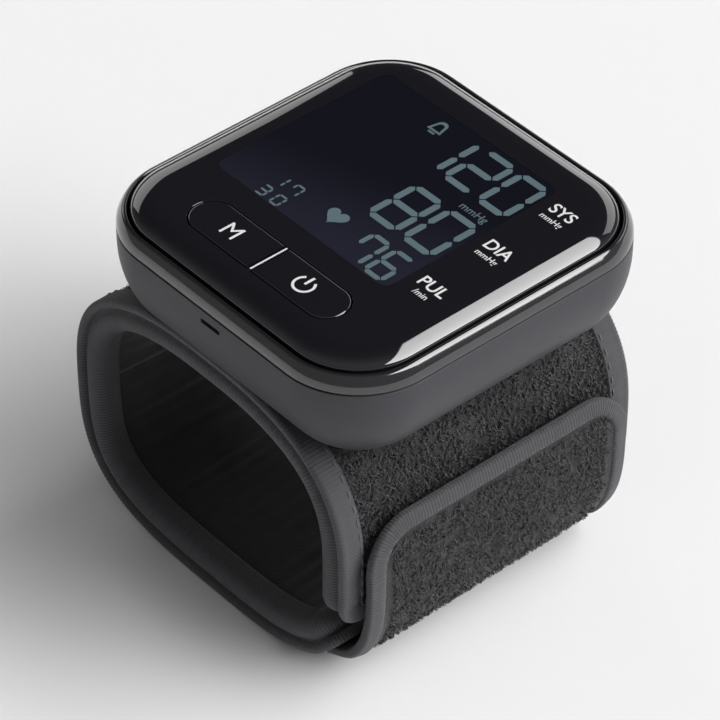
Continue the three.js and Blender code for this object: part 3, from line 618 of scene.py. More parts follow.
@dataclass(frozen=True)
class KeyOutline(Outline):
    """One half of the pill that holds the two keys."""

    side: int
    length: float = 37.1
    height: float = 8.6
    y: float = KEYS_Y
    rib: float = 0.8
    steps: int = 28

    def loop(self, inset: float = 0.0, inner: float = 0.0) -> np.ndarray:
        """Gives the half pill moved in by an inset, counter-clockwise.

        A half circle closes the outer end, and a straight edge beside the rib closes the inner one.

        Args:
            inset: Distance inwards round the pill.
            inner: Distance inwards beside the rib.

        Returns:
            Points by two.
        """
        radius = self.height / 2.0 - inset
        end = self.length / 2.0 - self.height / 2.0
        inner = self.rib / 2.0 + inner
        turn = np.linspace(-math.pi / 2.0, math.pi / 2.0, self.steps + 1)
        arc = np.column_stack([end + radius * np.cos(turn), radius * np.sin(turn)])
        loop = np.vstack([[inner, -radius], arc, [inner, radius]])
        if self.side < 0:
            loop = loop[::-1] * (-1.0, 1.0)
        return loop + (HEAD_X, self.y)


@dataclass
class Head:
    """The shells of the head, its display and its keys."""

    finishes: Finishes
    width: float = 68.4
    height: float = 70.4
    corner: float = 15.2
    trim_reach: float = 2.4
    panel_gap: float = 0.4
    panel_depth: float = 2.6
    crown: Place = (5.2, 2.2)
    crown_steps: int = 28
    window: RoundedOutline = RoundedOutline(43.0, 38.3, 2.0, HEAD_X - 3.5, 5.55)
    window_gap: float = 0.06
    lens_depths: Place = (1.3, 0.01)  # depths of the window's lower edge and of its face
    key_gap: float = 0.25
    key_proud: float = 0.1
    key_edge: float = 0.3
    key_steps: int = 8
    rim_edge: float = 0.04
    rim_steps: int = 5
    trim_crest: float = 1.95
    trim_slopes: tuple[Place, ...] = (
        (0.0, -70.0),
        (0.3, 0.0),
        (0.8, 56.0),
        (0.95, 62.0),
        (1.76, 88.0),
        (0.3, 180.0),
    )  # lengths along the section and the slope at the end of each
    trim_steps: int = 96
    trim_sole: float = 0.2  # how far the trim's underside reaches past its inner wall
    trim_foot: Place = (0.6, 1.25)  # depths of the inner wall below the crest
    rim_depth: float = 5.3
    rim_round: float = 0.15
    shoulder: float = 8.0
    bowl_depth: float = 23.1
    bowl_reach: float = 10.0
    bowl_steps: tuple[int, int] = (26, 4)  # steps of the bowl's turn and of its rim's edge
    wall: float = 1.9
    hollow_rise: float = 3.0  # how far the hollow is cut out over the rim
    saddle_gap: float = 0.05
    slot: RoundedOutline = RoundedOutline(4.8, 0.9, 0.35, HEAD_X, FACE_Z - 7.5, 6)  # in X and Z
    port: RoundedOutline = RoundedOutline(9.5, 3.8, 1.5, HEAD_X - 8.0, FACE_Z - 12.1, 10)  # in X and Z
    cuts: Triple = (200.0, 6.0, 12.0)  # lengths of the cuts for the saddle, slot and port

    def outline(self) -> RoundedOutline:
        """Gives the outline of the head."""
        return RoundedOutline(self.width, self.height, self.corner, HEAD_X)

    def panel_outline(self) -> RoundedOutline:
        """Gives the outline of the front panel."""
        reach = 2.0 * self.trim_reach
        return RoundedOutline(self.width - reach, self.height - reach, self.corner - self.trim_reach, HEAD_X)

    def panel(self) -> bpy.types.Object:
        """Builds the front panel: a flat with a rounded border, a window and two key openings."""
        outline, soft = self.panel_outline(), self.rim_edge
        insets, depths = quarter_round(*self.crown, self.crown_steps)
        patches = [grid(outline.rise(np.append(0.0, insets), np.append(self.panel_depth, depths)), ring=True)]
        fillet, fall = quarter_round(soft, soft, self.rim_steps)
        keys = [KeyOutline(side) for side in (1, -1)]
        for key in keys:
            rim = key.rise(np.append(fall[::-1] - soft, 0.0), np.append(fillet, self.panel_depth))
            patches.append(grid(rim, ring=True))
        holes = [self.window.loop(), *(key.loop(-soft) for key in keys)]
        patches.append(level([outline.loop(self.crown[0]), *holes], FACE_Z, 1))
        patches.append(grid(self.window.rise((0.0, 0.0), (0.0, self.panel_depth)), ring=True))
        piece = make_piece("panel", patches, [self.finishes["gloss_black"], self.finishes["flat_black"]])
        return self.settle(piece, "head", "gloss_black", "front_panel")

    def lens(self) -> bpy.types.Object:
        """Builds the display window, flush in the panel."""
        gap, depths = self.window_gap, self.lens_depths
        sides = grid(self.window.rise((gap, gap), depths), ring=True)
        face = level([self.window.loop(gap)], FACE_Z - depths[1])
        piece = make_piece("lens", [sides, face], [self.finishes["smoked_lens"]])
        return self.settle(piece, "head", "smoked_lens", "display_window")

    def key(self, side: int, word: str) -> bpy.types.Object:
        """Builds one key: a flat cap with a rounded edge.

        Args:
            side: 1 for the right key and -1 for the left one.
            word: The key's word in the names of its solids.

        Returns:
            The key.
        """
        key, gap = KeyOutline(side), self.key_gap
        insets, depths = quarter_round(self.key_edge, self.key_edge, self.key_steps)
        insets = np.append(0.0, insets) + gap
        rows = key.rise(insets, np.append(self.panel_depth, depths) - self.key_proud, gap)
        face = level([key.loop(insets[-1], gap)], FACE_Z + self.key_proud, 1)
        finishes = [self.finishes["gloss_black"], self.finishes["flat_black"]]
        piece = make_piece(f"{word}_cap", [grid(rows, ring=True), face], finishes)
        return self.settle(piece, f"{word}_button", "gloss_black", f"{word}_key")

    def trim_profile(self) -> np.ndarray:
        """Works out the section of the trim by its slope.

        The slope turns fast over a crisp crest, holds along a narrow facet, turns slowly to the upright and
        goes under in a soft lower edge. The running sums of its cosine and sine are the inset and the depth.

        Returns:
            Insets and depths, from the lower edge up to the inner side of the crest.
        """
        knots, slopes = np.array(self.trim_slopes).T
        length = np.cumsum(knots)
        run = np.linspace(0.0, length[-1], self.trim_steps)
        slope = np.radians(np.interp((run[1:] + run[:-1]) / 2.0, length, slopes))
        step = run[1]
        inset = np.append(0.0, np.cumsum(-np.cos(slope) * step))
        depth = np.append(0.0, np.cumsum(np.sin(slope) * step))
        profile = np.column_stack([inset - inset.min(), depth - depth.min() + self.trim_crest])
        return profile[::-1]

    def trim(self) -> bpy.types.Object:
        """Builds the trim ring: a crisp crest, a facet and a long fall to the parting line."""
        inner = self.trim_reach - self.panel_gap
        profile = self.trim_profile()
        foot = [[inner, self.trim_crest + drop] for drop in self.trim_foot]
        rows = np.vstack([[inner + self.trim_sole, profile[0, 1]], profile, foot])
        patches = [grid(self.outline().rise(rows[:, 0], rows[:, 1]), ring=True)]
        piece = make_piece("trim", patches, [self.finishes["satin_trim"]])
        return self.settle(piece, "head", "satin_trim", "trim_ring")

    def bowl(self, inset: float, rim: float) -> list[Patch]:
        """Gives the closed bowl of the housing.

        The wall falls straight to the shoulder and then turns in along a quarter of an ellipse.

        Args:
            inset: Distance inside the outline of the head.
            rim: Depth of the rim.

        Returns:
            The surfaces of the bowl.
        """
        outline = self.outline()
        steps, rim_steps = self.bowl_steps
        turn, fall = quarter_round(self.bowl_reach, self.bowl_depth - self.shoulder - inset, steps)
        soft, drop = quarter_round(self.rim_round, self.rim_round, rim_steps)
        insets = np.concatenate([inset + turn[::-1], inset + soft])
        depths = np.concatenate([self.shoulder + (fall.max() - fall)[::-1], rim + drop])
        base, top = (level([outline.loop(insets[end])], FACE_Z - depths[end]) for end in (0, -1))
        base.faces = base.faces[:, ::-1]
        return [base, grid(outline.rise(insets, depths), ring=True), top]

    def housing(self, cuff: Cuff) -> bpy.types.Object:
        """Builds the lower housing: a bowl that is cut to sit on the cuff, with its slot and its port.

        Args:
            cuff: The cuff that the head sits on.

        Returns:
            The housing.
        """
        matt = [self.finishes["matt_housing"]]
        shell = make_piece("housing", self.bowl(0.0, self.rim_depth), matt, weld=True)
        hollow = self.bowl(self.wall, self.rim_depth - self.hollow_rise)
        half = self.height / 2.0
        tools = [
            make_piece("hollow", hollow, matt, weld=True),
            self.bar("saddle", cuff.oval.ring(-self.saddle_gap), 0.0, self.cuts[0]),
            self.bar("slot", self.slot.loop(), -half, self.cuts[1]),
            self.bar("port", self.port.loop(), half, self.cuts[2]),
        ]
        return self.settle(carve(shell, tools), "head", "matt_housing", "lower_housing")

    def bar(self, name: str, outline: np.ndarray, middle: float, length: float) -> bpy.types.Object:
        """Builds a bar along Y for a cut.

        Args:
            name: Name of the bar.
            outline: Points of X and Z, counter-clockwise seen from the front.
            middle: Its middle along Y.
            length: Its length along Y.

        Returns:
            The bar.
        """
        ends = (middle - length / 2.0, middle + length / 2.0)
        sides = grid(np.stack([np.insert(outline, 1, y, axis=1) for y in ends]), ring=True, flip=True)
        cap = level([outline], 0.0)
        near = Patch(np.insert(cap.uv, 1, ends[0], axis=1), cap.faces, cap.uv)
        far = Patch(np.insert(cap.uv, 1, ends[1], axis=1), cap.faces[:, ::-1], cap.uv)
        return make_piece(name, [sides, near, far], [self.finishes["matt_housing"]], weld=True)

    @staticmethod
    def settle(piece: bpy.types.Object, body: str, slot: str, node: str) -> bpy.types.Object:
        """Fixes a piece to a body in place of its solid.

        Args:
            piece: The piece.
            body: The body that it moves with.
            slot: Not used.
            node: The solid that it stands for.

        Returns:
            The piece.
        """
        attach(piece, body)
        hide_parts(node)
        return piece

    def build(self, cuff: Cuff) -> None:
        """Builds every piece of the head, on the cuff that it sits on."""
        panel, lens = self.panel(), self.lens()
        keys = [self.key(1, "power"), self.key(-1, "memory")]
        report(panel, lens, *keys, self.trim(), self.housing(cuff))


# Display and printing


# Bars that make up each digit, by their usual letters
SEGMENTS = {"0": "abcdef", "1": "bc", "2": "abged", "3": "abgcd", "6": "afgedc", "7": "fabc", "8": "abcdefg"}

# Digits on the display: left side from the middle of the head, base, width, height and stroke of each
READINGS = (
    ("1", -6.3, 12.5, 7.4, 11.1, 1.3),
    ("2", 2.0, 12.5, 7.4, 11.1, 1.3),
    ("0", 10.3, 12.5, 7.1, 11.1, 1.3),
    ("8", 1.0, -3.2, 7.5, 11.5, 1.3),
    ("0", 9.5, -3.2, 7.5, 11.5, 1.3),
    ("7", 6.1, -13.2, 4.7, 7.9, 0.95),
    ("6", 11.6, -13.2, 4.8, 7.9, 0.95),
    ("1", -15.2, -9.4, 2.2, 2.9, 0.42),
    ("7", -11.6, -9.4, 2.2, 2.9, 0.42),
    ("3", -15.2, -13.3, 2.2, 2.9, 0.42),
    ("0", -11.6, -13.3, 2.2, 2.9, 0.42),
)
LABELS = (("SYS", "mmHg", 19.9), ("DIA", "mmHg", 5.6), ("PUL", "/min", -8.6))  # name, unit and base line


def oblong(half_width: float, low: float, high: float) -> np.ndarray:
    """Gives the corners of a rectangle about an upright line, counter-clockwise."""
    return np.array([[-half_width, low], [half_width, low], [half_width, high], [-half_width, high]])


@dataclass
class Marks:
    """The digits and signs on the display, and the printing on the panel and the keys."""

    finishes: Finishes
    lift: float = 0.015
    bar_gap: float = 0.13  # free space at each end of a digit's bar, in strokes
    capital: float = 0.7  # height of a capital of the built-in letter
    letter_steps: int = 6
    heart_steps: int = 48
    heart_place: Triple = (-1.0, -7.4, 4.4)  # middle and width
    bell_place: Triple = (-7.6, 20.9, 3.8)  # middle and height
    bell_dome: Place = (0.3, 0.2)  # radius and middle, in heights of the bell
    bell_steps: int = 13
    bell_rim: Place = (0.42, -0.32)
    bell_foot: Triple = (0.2, -0.5, -0.38)  # half width, low side and high side
    bell_wall: float = 0.62  # share of the bell that is open
    unit_place: tuple[float, ...] = (13.1, 9.4, 1.6, 0.01)  # middle, base line, size and boldness
    label_x: float = 22.8
    name_letter: Place = (2.45, 0.02)  # size and boldness
    unit_letter: Place = (1.25, 0.012)
    unit_drop: float = 2.15
    rib_line: Place = (0.17, 3.9)  # half width and half height of the line between the keys
    power_x: float = 8.8
    power_radii: Place = (2.08, 1.6)
    power_gap: float = 38.0  # half of the gap in the ring, in degrees
    power_steps: int = 49
    power_stem: Triple = (0.25, 0.1, 2.3)  # half width, low end and high end
    memory_place: tuple[float, ...] = (-9.2, -24.4, 3.4, 0.0)  # middle, base line, size and boldness

    def digit(self, text: str, x: float, y: float, width: float, height: float, stroke: float) -> list[Patch]:
        """Draws one digit of bars with pointed ends.

        Args:
            text: The digit.
            x: Its left side, from the middle of the head.
            y: Its base.
            width: Its width.
            height: Its height.
            stroke: Width of a bar.

        Returns:
            One patch for each bar.
        """
        left, right = stroke / 2.0, width - stroke / 2.0
        base, middle, top = stroke / 2.0, height / 2.0, height - stroke / 2.0
        ends = {
            "a": ((left, top), (right, top)),
            "b": ((right, middle), (right, top)),
            "c": ((right, base), (right, middle)),
            "d": ((left, base), (right, base)),
            "e": ((left, base), (left, middle)),
            "f": ((left, middle), (left, top)),
            "g": ((left, middle), (right, middle)),
        }
        return [self.bar(np.array(ends[name]) + (x, y), stroke) for name in SEGMENTS[text]]

    def bar(self, ends: np.ndarray, stroke: float) -> Patch:
        """Draws one bar: a strip whose ends come to a point.

        Args:
            ends: Its two ends.
            stroke: Its width.

        Returns:
            The patch.
        """
        along = (ends[1] - ends[0]) / np.linalg.norm(ends[1] - ends[0])
        across = np.array([-along[1], along[0]]) * stroke / 2.0
        gap = self.bar_gap * stroke
        start, stop = ends[0] + along * gap, ends[1] - along * gap
        inner, outer = start + along * stroke / 2.0, stop - along * stroke / 2.0
        loop = [start, inner - across, outer - across, stop, outer + across, inner + across]
        return self.flat(np.array(loop))

    def flat(self, loop: np.ndarray, proud: float = 0.0) -> Patch:
        """Makes a flat mark of one loop, measured from the middle of the head."""
        return level([loop + (HEAD_X, 0.0)], FACE_Z + proud + self.lift)

    def heart(self, x: float, y: float, width: float) -> Patch:
        """Draws a heart from the usual curve of sines and cosines.

        Args:
            x: Its middle, from the middle of the head.
            y: Its middle.
            width: Its width.

        Returns:
            The patch.
        """
        turn = np.linspace(0.0, 2.0 * math.pi, self.heart_steps, endpoint=False)
        across = 16.0 * np.sin(turn) ** 3
        up = 13.0 * np.cos(turn) - 5.0 * np.cos(2 * turn) - 2.0 * np.cos(3 * turn) - np.cos(4 * turn)
        return self.flat(np.column_stack([across, up])[::-1] * width / 32.0 + (x, y))

    def bell(self, x: float, y: float, size: float) -> list[Patch]:
        """Draws a small bell: an open body over a bar.

        Args:
            x: Its middle, from the middle of the head.
            y: Its middle.
            size: Its height.

        Returns:
            The patches.
        """
        radius, centre = self.bell_dome
        side, low = self.bell_rim
        turn = np.linspace(0.0, math.pi, self.bell_steps)
        dome = np.column_stack([radius * np.cos(turn), centre + radius * np.sin(turn)])
        body = np.vstack([[[side, low]], dome, [[-side, low]]])
        middle = (x + HEAD_X, y)
        rim = level([body * size + middle, body * (size * self.bell_wall) + middle], FACE_Z + self.lift)
        return [rim, self.flat(oblong(*self.bell_foot) * size + (x, y))]

    def word(self, text: str, x: float, y: float, size: float, bold: float, proud: float = 0.0) -> Patch:
        """Draws a word in the plain built-in letter.

        Args:
            text: The word.
            x: Its middle, from the middle of the head.
            y: Its base line.
            size: Height of a capital letter.
            bold: Share of the size by which strokes are thickened.
            proud: Height of what is under it over the face.

        Returns:
            The patch.
        """
        curve = bpy.data.curves.new(text, "FONT")
        curve.body = text
        curve.align_x = "CENTER"
        curve.size = size / self.capital
        curve.offset = bold * size
        curve.resolution_u = self.letter_steps
        letter = bpy.data.objects.new(text, curve)
        bpy.context.scene.collection.objects.link(letter)
        made = applied(letter)
        made.calc_loop_triangles()
        points = np.zeros(len(made.vertices) * 3)
        made.vertices.foreach_get("co", points)
        faces = np.zeros(len(made.loop_triangles) * 3, np.int32)
        made.loop_triangles.foreach_get("vertices", faces)
        bpy.data.objects.remove(letter)
        bpy.data.meshes.remove(made)
        flat = points.reshape(-1, 3)[:, :2] + (HEAD_X + x, y)
        return Patch(np.insert(flat, 2, FACE_Z + proud + self.lift, axis=1), faces.reshape(-1, 3), flat)

    def readings(self) -> bpy.types.Object:
        """Builds the digits and signs that the display shows."""
        patches = [bar for row in READINGS for bar in self.digit(*row)]
        patches += [self.heart(*self.heart_place), *self.bell(*self.bell_place)]
        patches.append(self.word("mmHg", *self.unit_place))
        piece = make_piece("readings", patches, [self.finishes["segment"]])
        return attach(piece, "head")

    def labels(self) -> bpy.types.Object:
        """Builds the printing beside the display and the line between the keys."""
        patches = []
        for name, unit, y in LABELS:
            patches.append(self.word(name, self.label_x, y, *self.name_letter))
            patches.append(self.word(unit, self.label_x, y - self.unit_drop, *self.unit_letter))
        half_width, half_height = self.rib_line
        patches.append(self.flat(oblong(half_width, -half_height, half_height) + (0.0, KEYS_Y)))
        piece = make_piece("labels", patches, [self.finishes["printing"]])
        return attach(piece, "head")

    def key_signs(self, proud: float) -> list[bpy.types.Object]:
        """Builds the power sign and the memory letter on the keys.

        Args:
            proud: Height of the keys over the face.

        Returns:
            The two pieces.
        """
        turn = np.radians(np.linspace(90.0 + self.power_gap, 450.0 - self.power_gap, self.power_steps))
        circle = np.column_stack([np.cos(turn), np.sin(turn)])
        rows = [radius * circle + (self.power_x + HEAD_X, KEYS_Y) for radius in self.power_radii]
        ring = grid(np.stack([np.insert(row, 2, FACE_Z + proud + self.lift, axis=1) for row in rows]))
        stem = self.flat(oblong(*self.power_stem) + (self.power_x, KEYS_Y), proud)
        letter = self.word("M", *self.memory_place, proud)
        signs = []
        for name, patches in (("power", [ring, stem]), ("memory", [letter])):
            piece = make_piece(f"{name}_sign", patches, [self.finishes["printing"]])
            signs.append(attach(piece, f"{name}_button"))
        return signs

    def build(self, head: Head) -> None:
        """Builds every mark on the head that carries them."""
        report(self.readings(), self.labels(), *self.key_signs(head.key_proud))


# Cuff


@dataclass(frozen=True)
class Oval:
    """The outline of the cuff: an oval in the XZ plane, squarer below than above."""

    half_width: float = 35.5
    half_height: float = 27.0
    x: float = HEAD_X - 6.0
    z: float = 26.75
    top_power: float = 2.6
    base_power: float = 3.2

    def frame(self, angle: np.ndarray) -> Arrays:
        """Gives points of the outline and the directions that point out of it.

        A point lies where the powers of its shares of the half width and the half height add up to one.

        Args:
            angle: Angles in degrees, counter-clockwise from the right.

        Returns:
            Points and unit normals, each of X and Z.
        """
        turn = np.radians(angle)
        across, up = np.cos(turn), np.sin(turn)
        power = np.where(up >= 0.0, self.top_power, self.base_power)
        reach = np.abs(across / self.half_width) ** power + np.abs(up / self.half_height) ** power
        radius = reach ** (-1.0 / power)
        flat = np.stack([radius * across, radius * up], axis=-1)
        half = np.array([self.half_width, self.half_height])
        normal = np.sign(flat) * np.abs(flat / half) ** (power[..., None] - 1.0) / half
        normal /= np.linalg.norm(normal, axis=-1, keepdims=True)
        return flat + (self.x, self.z), normal

    def ring(self, inset: float, count: int = 240) -> np.ndarray:
        """Gives the whole oval at an inset, as a number of points by two."""
        points, normal = self.frame(np.linspace(0.0, 360.0, count, endpoint=False))
        return points - normal * inset

    def stations(self, start: float, stop: float, inset: float, count: int = 1500) -> Arrays:
        """Measures the way along the oval.

        Args:
            start: First angle.
            stop: Last angle.
            inset: Inset at which the way is measured.
            count: Number of angles.

        Returns:
            Angles, and the length from the first one to each.
        """
        angle = np.linspace(start, stop, count)
        points, normal = self.frame(angle)
        return angle, way_along(points - normal * inset)

    def place(self, angle: np.ndarray, inset: np.ndarray, y: np.ndarray) -> np.ndarray:
        """Gives points by angle, inset and place along Y, none of them under the floor.

        Args:
            angle: Angles in degrees.
            inset: Distances inwards.
            y: Places along Y.

        Returns:
            Points by three.
        """
        angle, inset, y = np.broadcast_arrays(angle, inset, y)
        points, normal = self.frame(angle)
        flat = points - normal * inset[..., None]
        return np.stack([flat[..., 0], y, np.maximum(flat[..., 1], 0.0)], axis=-1)


@dataclass(frozen=True)
class Strip:
    """A stretch of cuff between two angles, with lengths measured along its middle."""

    oval: Oval
    start: float
    stop: float
    half_width: float
    middle: float  # inset of the strip's middle
    thick: float
    corner: float
    taper: float = 0.0  # length over which the start leans on what is under it
    lean: float = 0.0  # how far the start leans in
    corner_steps: int = 16
    edge_steps: int = 24

    def length(self) -> float:
        """Gives the strip's length at its middle."""
        return float(self.oval.stations(self.start, self.stop, self.middle)[1][-1])

    def angle(self, along: np.ndarray) -> np.ndarray:
        """Turns lengths along the strip into angles."""
        angle, way = self.oval.stations(self.start, self.stop, self.middle)
        return np.interp(along, way, angle)

    def place(self, along: np.ndarray, rise: np.ndarray, y: np.ndarray) -> np.ndarray:
        """Gives points by length along the strip, height over its middle and place along Y.

        Args:
            along: Lengths along the strip.
            rise: Heights over the middle, outwards.
            y: Places along Y.

        Returns:
            Points by three.
        """
        left = 1.0 - np.clip(along / max(self.taper, SAME_PLACE), 0.0, 1.0)
        inset = self.middle + self.lean * left**2 * (3.0 - 2.0 * left) - rise
        return self.oval.place(self.angle(along), inset, y)

    def outline(self, tuck: float, count: int) -> Arrays:
        """Gives half widths along the strip, which narrows round the corners of its end.

        Args:
            tuck: Distance that the outline stays inside the strip's edge.
            count: Number of rows before the corners.

        Returns:
            Lengths along the strip, and the half width at each.
        """
        end, radius = self.length() - tuck, self.corner - tuck
        turn = np.linspace(math.pi / 2.0, 0.0, self.corner_steps)
        straight = np.linspace(0.0, end - radius, count)[:-1]
        along = np.concatenate([straight, end - radius * (1.0 - np.cos(turn))])
        past = np.clip(along - (end - radius), 0.0, radius)
        return along, self.half_width - tuck - radius + np.sqrt(np.clip(radius**2 - past**2, 0.0, None))

    def edge(self, step: float) -> Arrays:
        """Follows the edge up one side, round the end and down the other side.

        Quarter circles join the straight runs, and the points lie an equal step apart.

        Args:
            step: Distance between points.

        Returns:
            Points, and directions out of the edge, each of length along the strip and Y.
        """
        radius, half, end = self.corner, self.half_width, self.length()
        turn = np.linspace(-math.pi / 2.0, 0.0, self.edge_steps)
        corner = (end - radius, radius - half)
        first = radius * np.column_stack([np.cos(turn), np.sin(turn)]) + corner
        second = first[::-1] * (1.0, -1.0)
        line = np.vstack([[0.0, -half], first, second, [0.0, half]])
        way = way_along(line)
        at = np.linspace(0.0, way[-1], int(way[-1] / step))
        points = np.column_stack([np.interp(at, way, line[:, k]) for k in (0, 1)])
        along = np.gradient(points, axis=0)
        along /= np.linalg.norm(along, axis=1, keepdims=True)
        return points, np.column_stack([along[:, 1], -along[:, 0]])


FINE_STEPS = 200001  # points from which evenly spaced ones are picked


def section(half_width: float, half_height: float, power: float, count: int) -> Arrays:
    """Gives a rounded oblong with evenly spaced points.

    A point lies where the powers of its shares of the half width and the half height add up to one.

    Args:
        half_width: Half of the width.
        half_height: Half of the height.
        power: The power: 2 for an ellipse, more for a squarer shape.
        count: Number of points.

    Returns:
        Widths from the negative end round over the top, and heights.
    """
    turn = np.linspace(0.0, 2.0 * math.pi, FINE_STEPS)
    across = -np.sign(np.cos(turn)) * np.abs(np.cos(turn)) ** (2.0 / power) * half_width
    up = np.sign(np.sin(turn)) * np.abs(np.sin(turn)) ** (2.0 / power) * half_height
    way = np.concatenate([[0.0], np.cumsum(np.hypot(np.diff(across), np.diff(up)))])
    at = np.linspace(0.0, way[-1], count, endpoint=False)
    return np.interp(at, way, across), np.interp(at, way, up)


# Sections of the edge tape, from the outside round to the inside. Each point has 1 if it is measured from the
# tape's inner edge or 0 from its outer one, the distance outwards, the side of the cloth (1 for the outside,
# -1 for the inside and 0 for the middle) and the height over that side.
PADDED_TAPE = (
    (1, 0.0, 1, -0.75), (1, 0.25, 1, -0.15), (1, 1.2, 1, 0.0), (0, -1.4, 1, 0.0), (0, -0.6, 1, -0.02),
    (0, -0.12, 1, -0.4), (0, -0.02, 1, -1.0), (0, -0.35, 1, -1.6), (0, -1.15, 1, -2.05), (0, -0.95, 1, -2.5),
    (0, -0.3, 1, -3.1), (0, 0.0, 1, -4.0), (0, -0.1, 1, -4.9), (0, -0.7, 1, -5.9), (0, -1.7, -1, 0.1),
    (0, -3.0, -1, 0.0), (1, 0.3, -1, 0.15), (1, 0.0, -1, 0.7),
)
FLAT_TAPE = (
    (1, 0.0, 1, -0.35), (1, 0.3, 1, 0.12), (0, -1.0, 1, 0.15), (0, -0.2, 1, -0.1), (0, 0.0, 0, 0.0),
    (0, -0.2, -1, 0.1), (0, -1.0, -1, -0.1), (1, 0.0, -1, 0.1),
)
TRIMMING_SLOTS = ("edge_tape", "edge_tape", "loop_pile")  # of a strip's tape, stitches and loops


@dataclass(frozen=True)
class Stuffing:
    """How the lining behaves in its cloth simulation."""

    scale: float = 20.0  # how many times larger than life it is worked out
    quality: int = 6
    mass: float = 0.3
    stretch: float = 18.0
    shear: float = 6.0
    bend: float = 0.6
    pressure: float = 2.0
    frames: int = 24


@dataclass(frozen=True)
class Stitch:
    """The stitches of a seam."""

    pitch: float = 2.3
    steps: int = 8  # points of the row in one pitch
    girth: float = 0.17
    reach: float = 0.62  # half length, in half pitches
    dip: float = 0.12  # how far the ends dip in
    tip: float = 0.02  # least share of the girth's square, at the ends
    points: int = 6  # points along a stitch and round it


@dataclass(frozen=True)
class Yarn:
    """The loops of the pile: the ranges in which chance picks each."""

    density: float = 3.0  # loops per square millimetre
    wide: Place = (0.3, 0.6)
    tall: Place = (0.35, 0.75)
    half_thick: Place = (0.06, 0.11)
    lean: Place = (-0.4, 0.4)
    tone: Place = (1.3, 2.2)  # the two powers that spread the tones
    sunk: float = 0.05  # how far the feet stand under the cloth's surface
    lap: float = 0.2  # how far the pile goes on under the tape
    points: int = 5


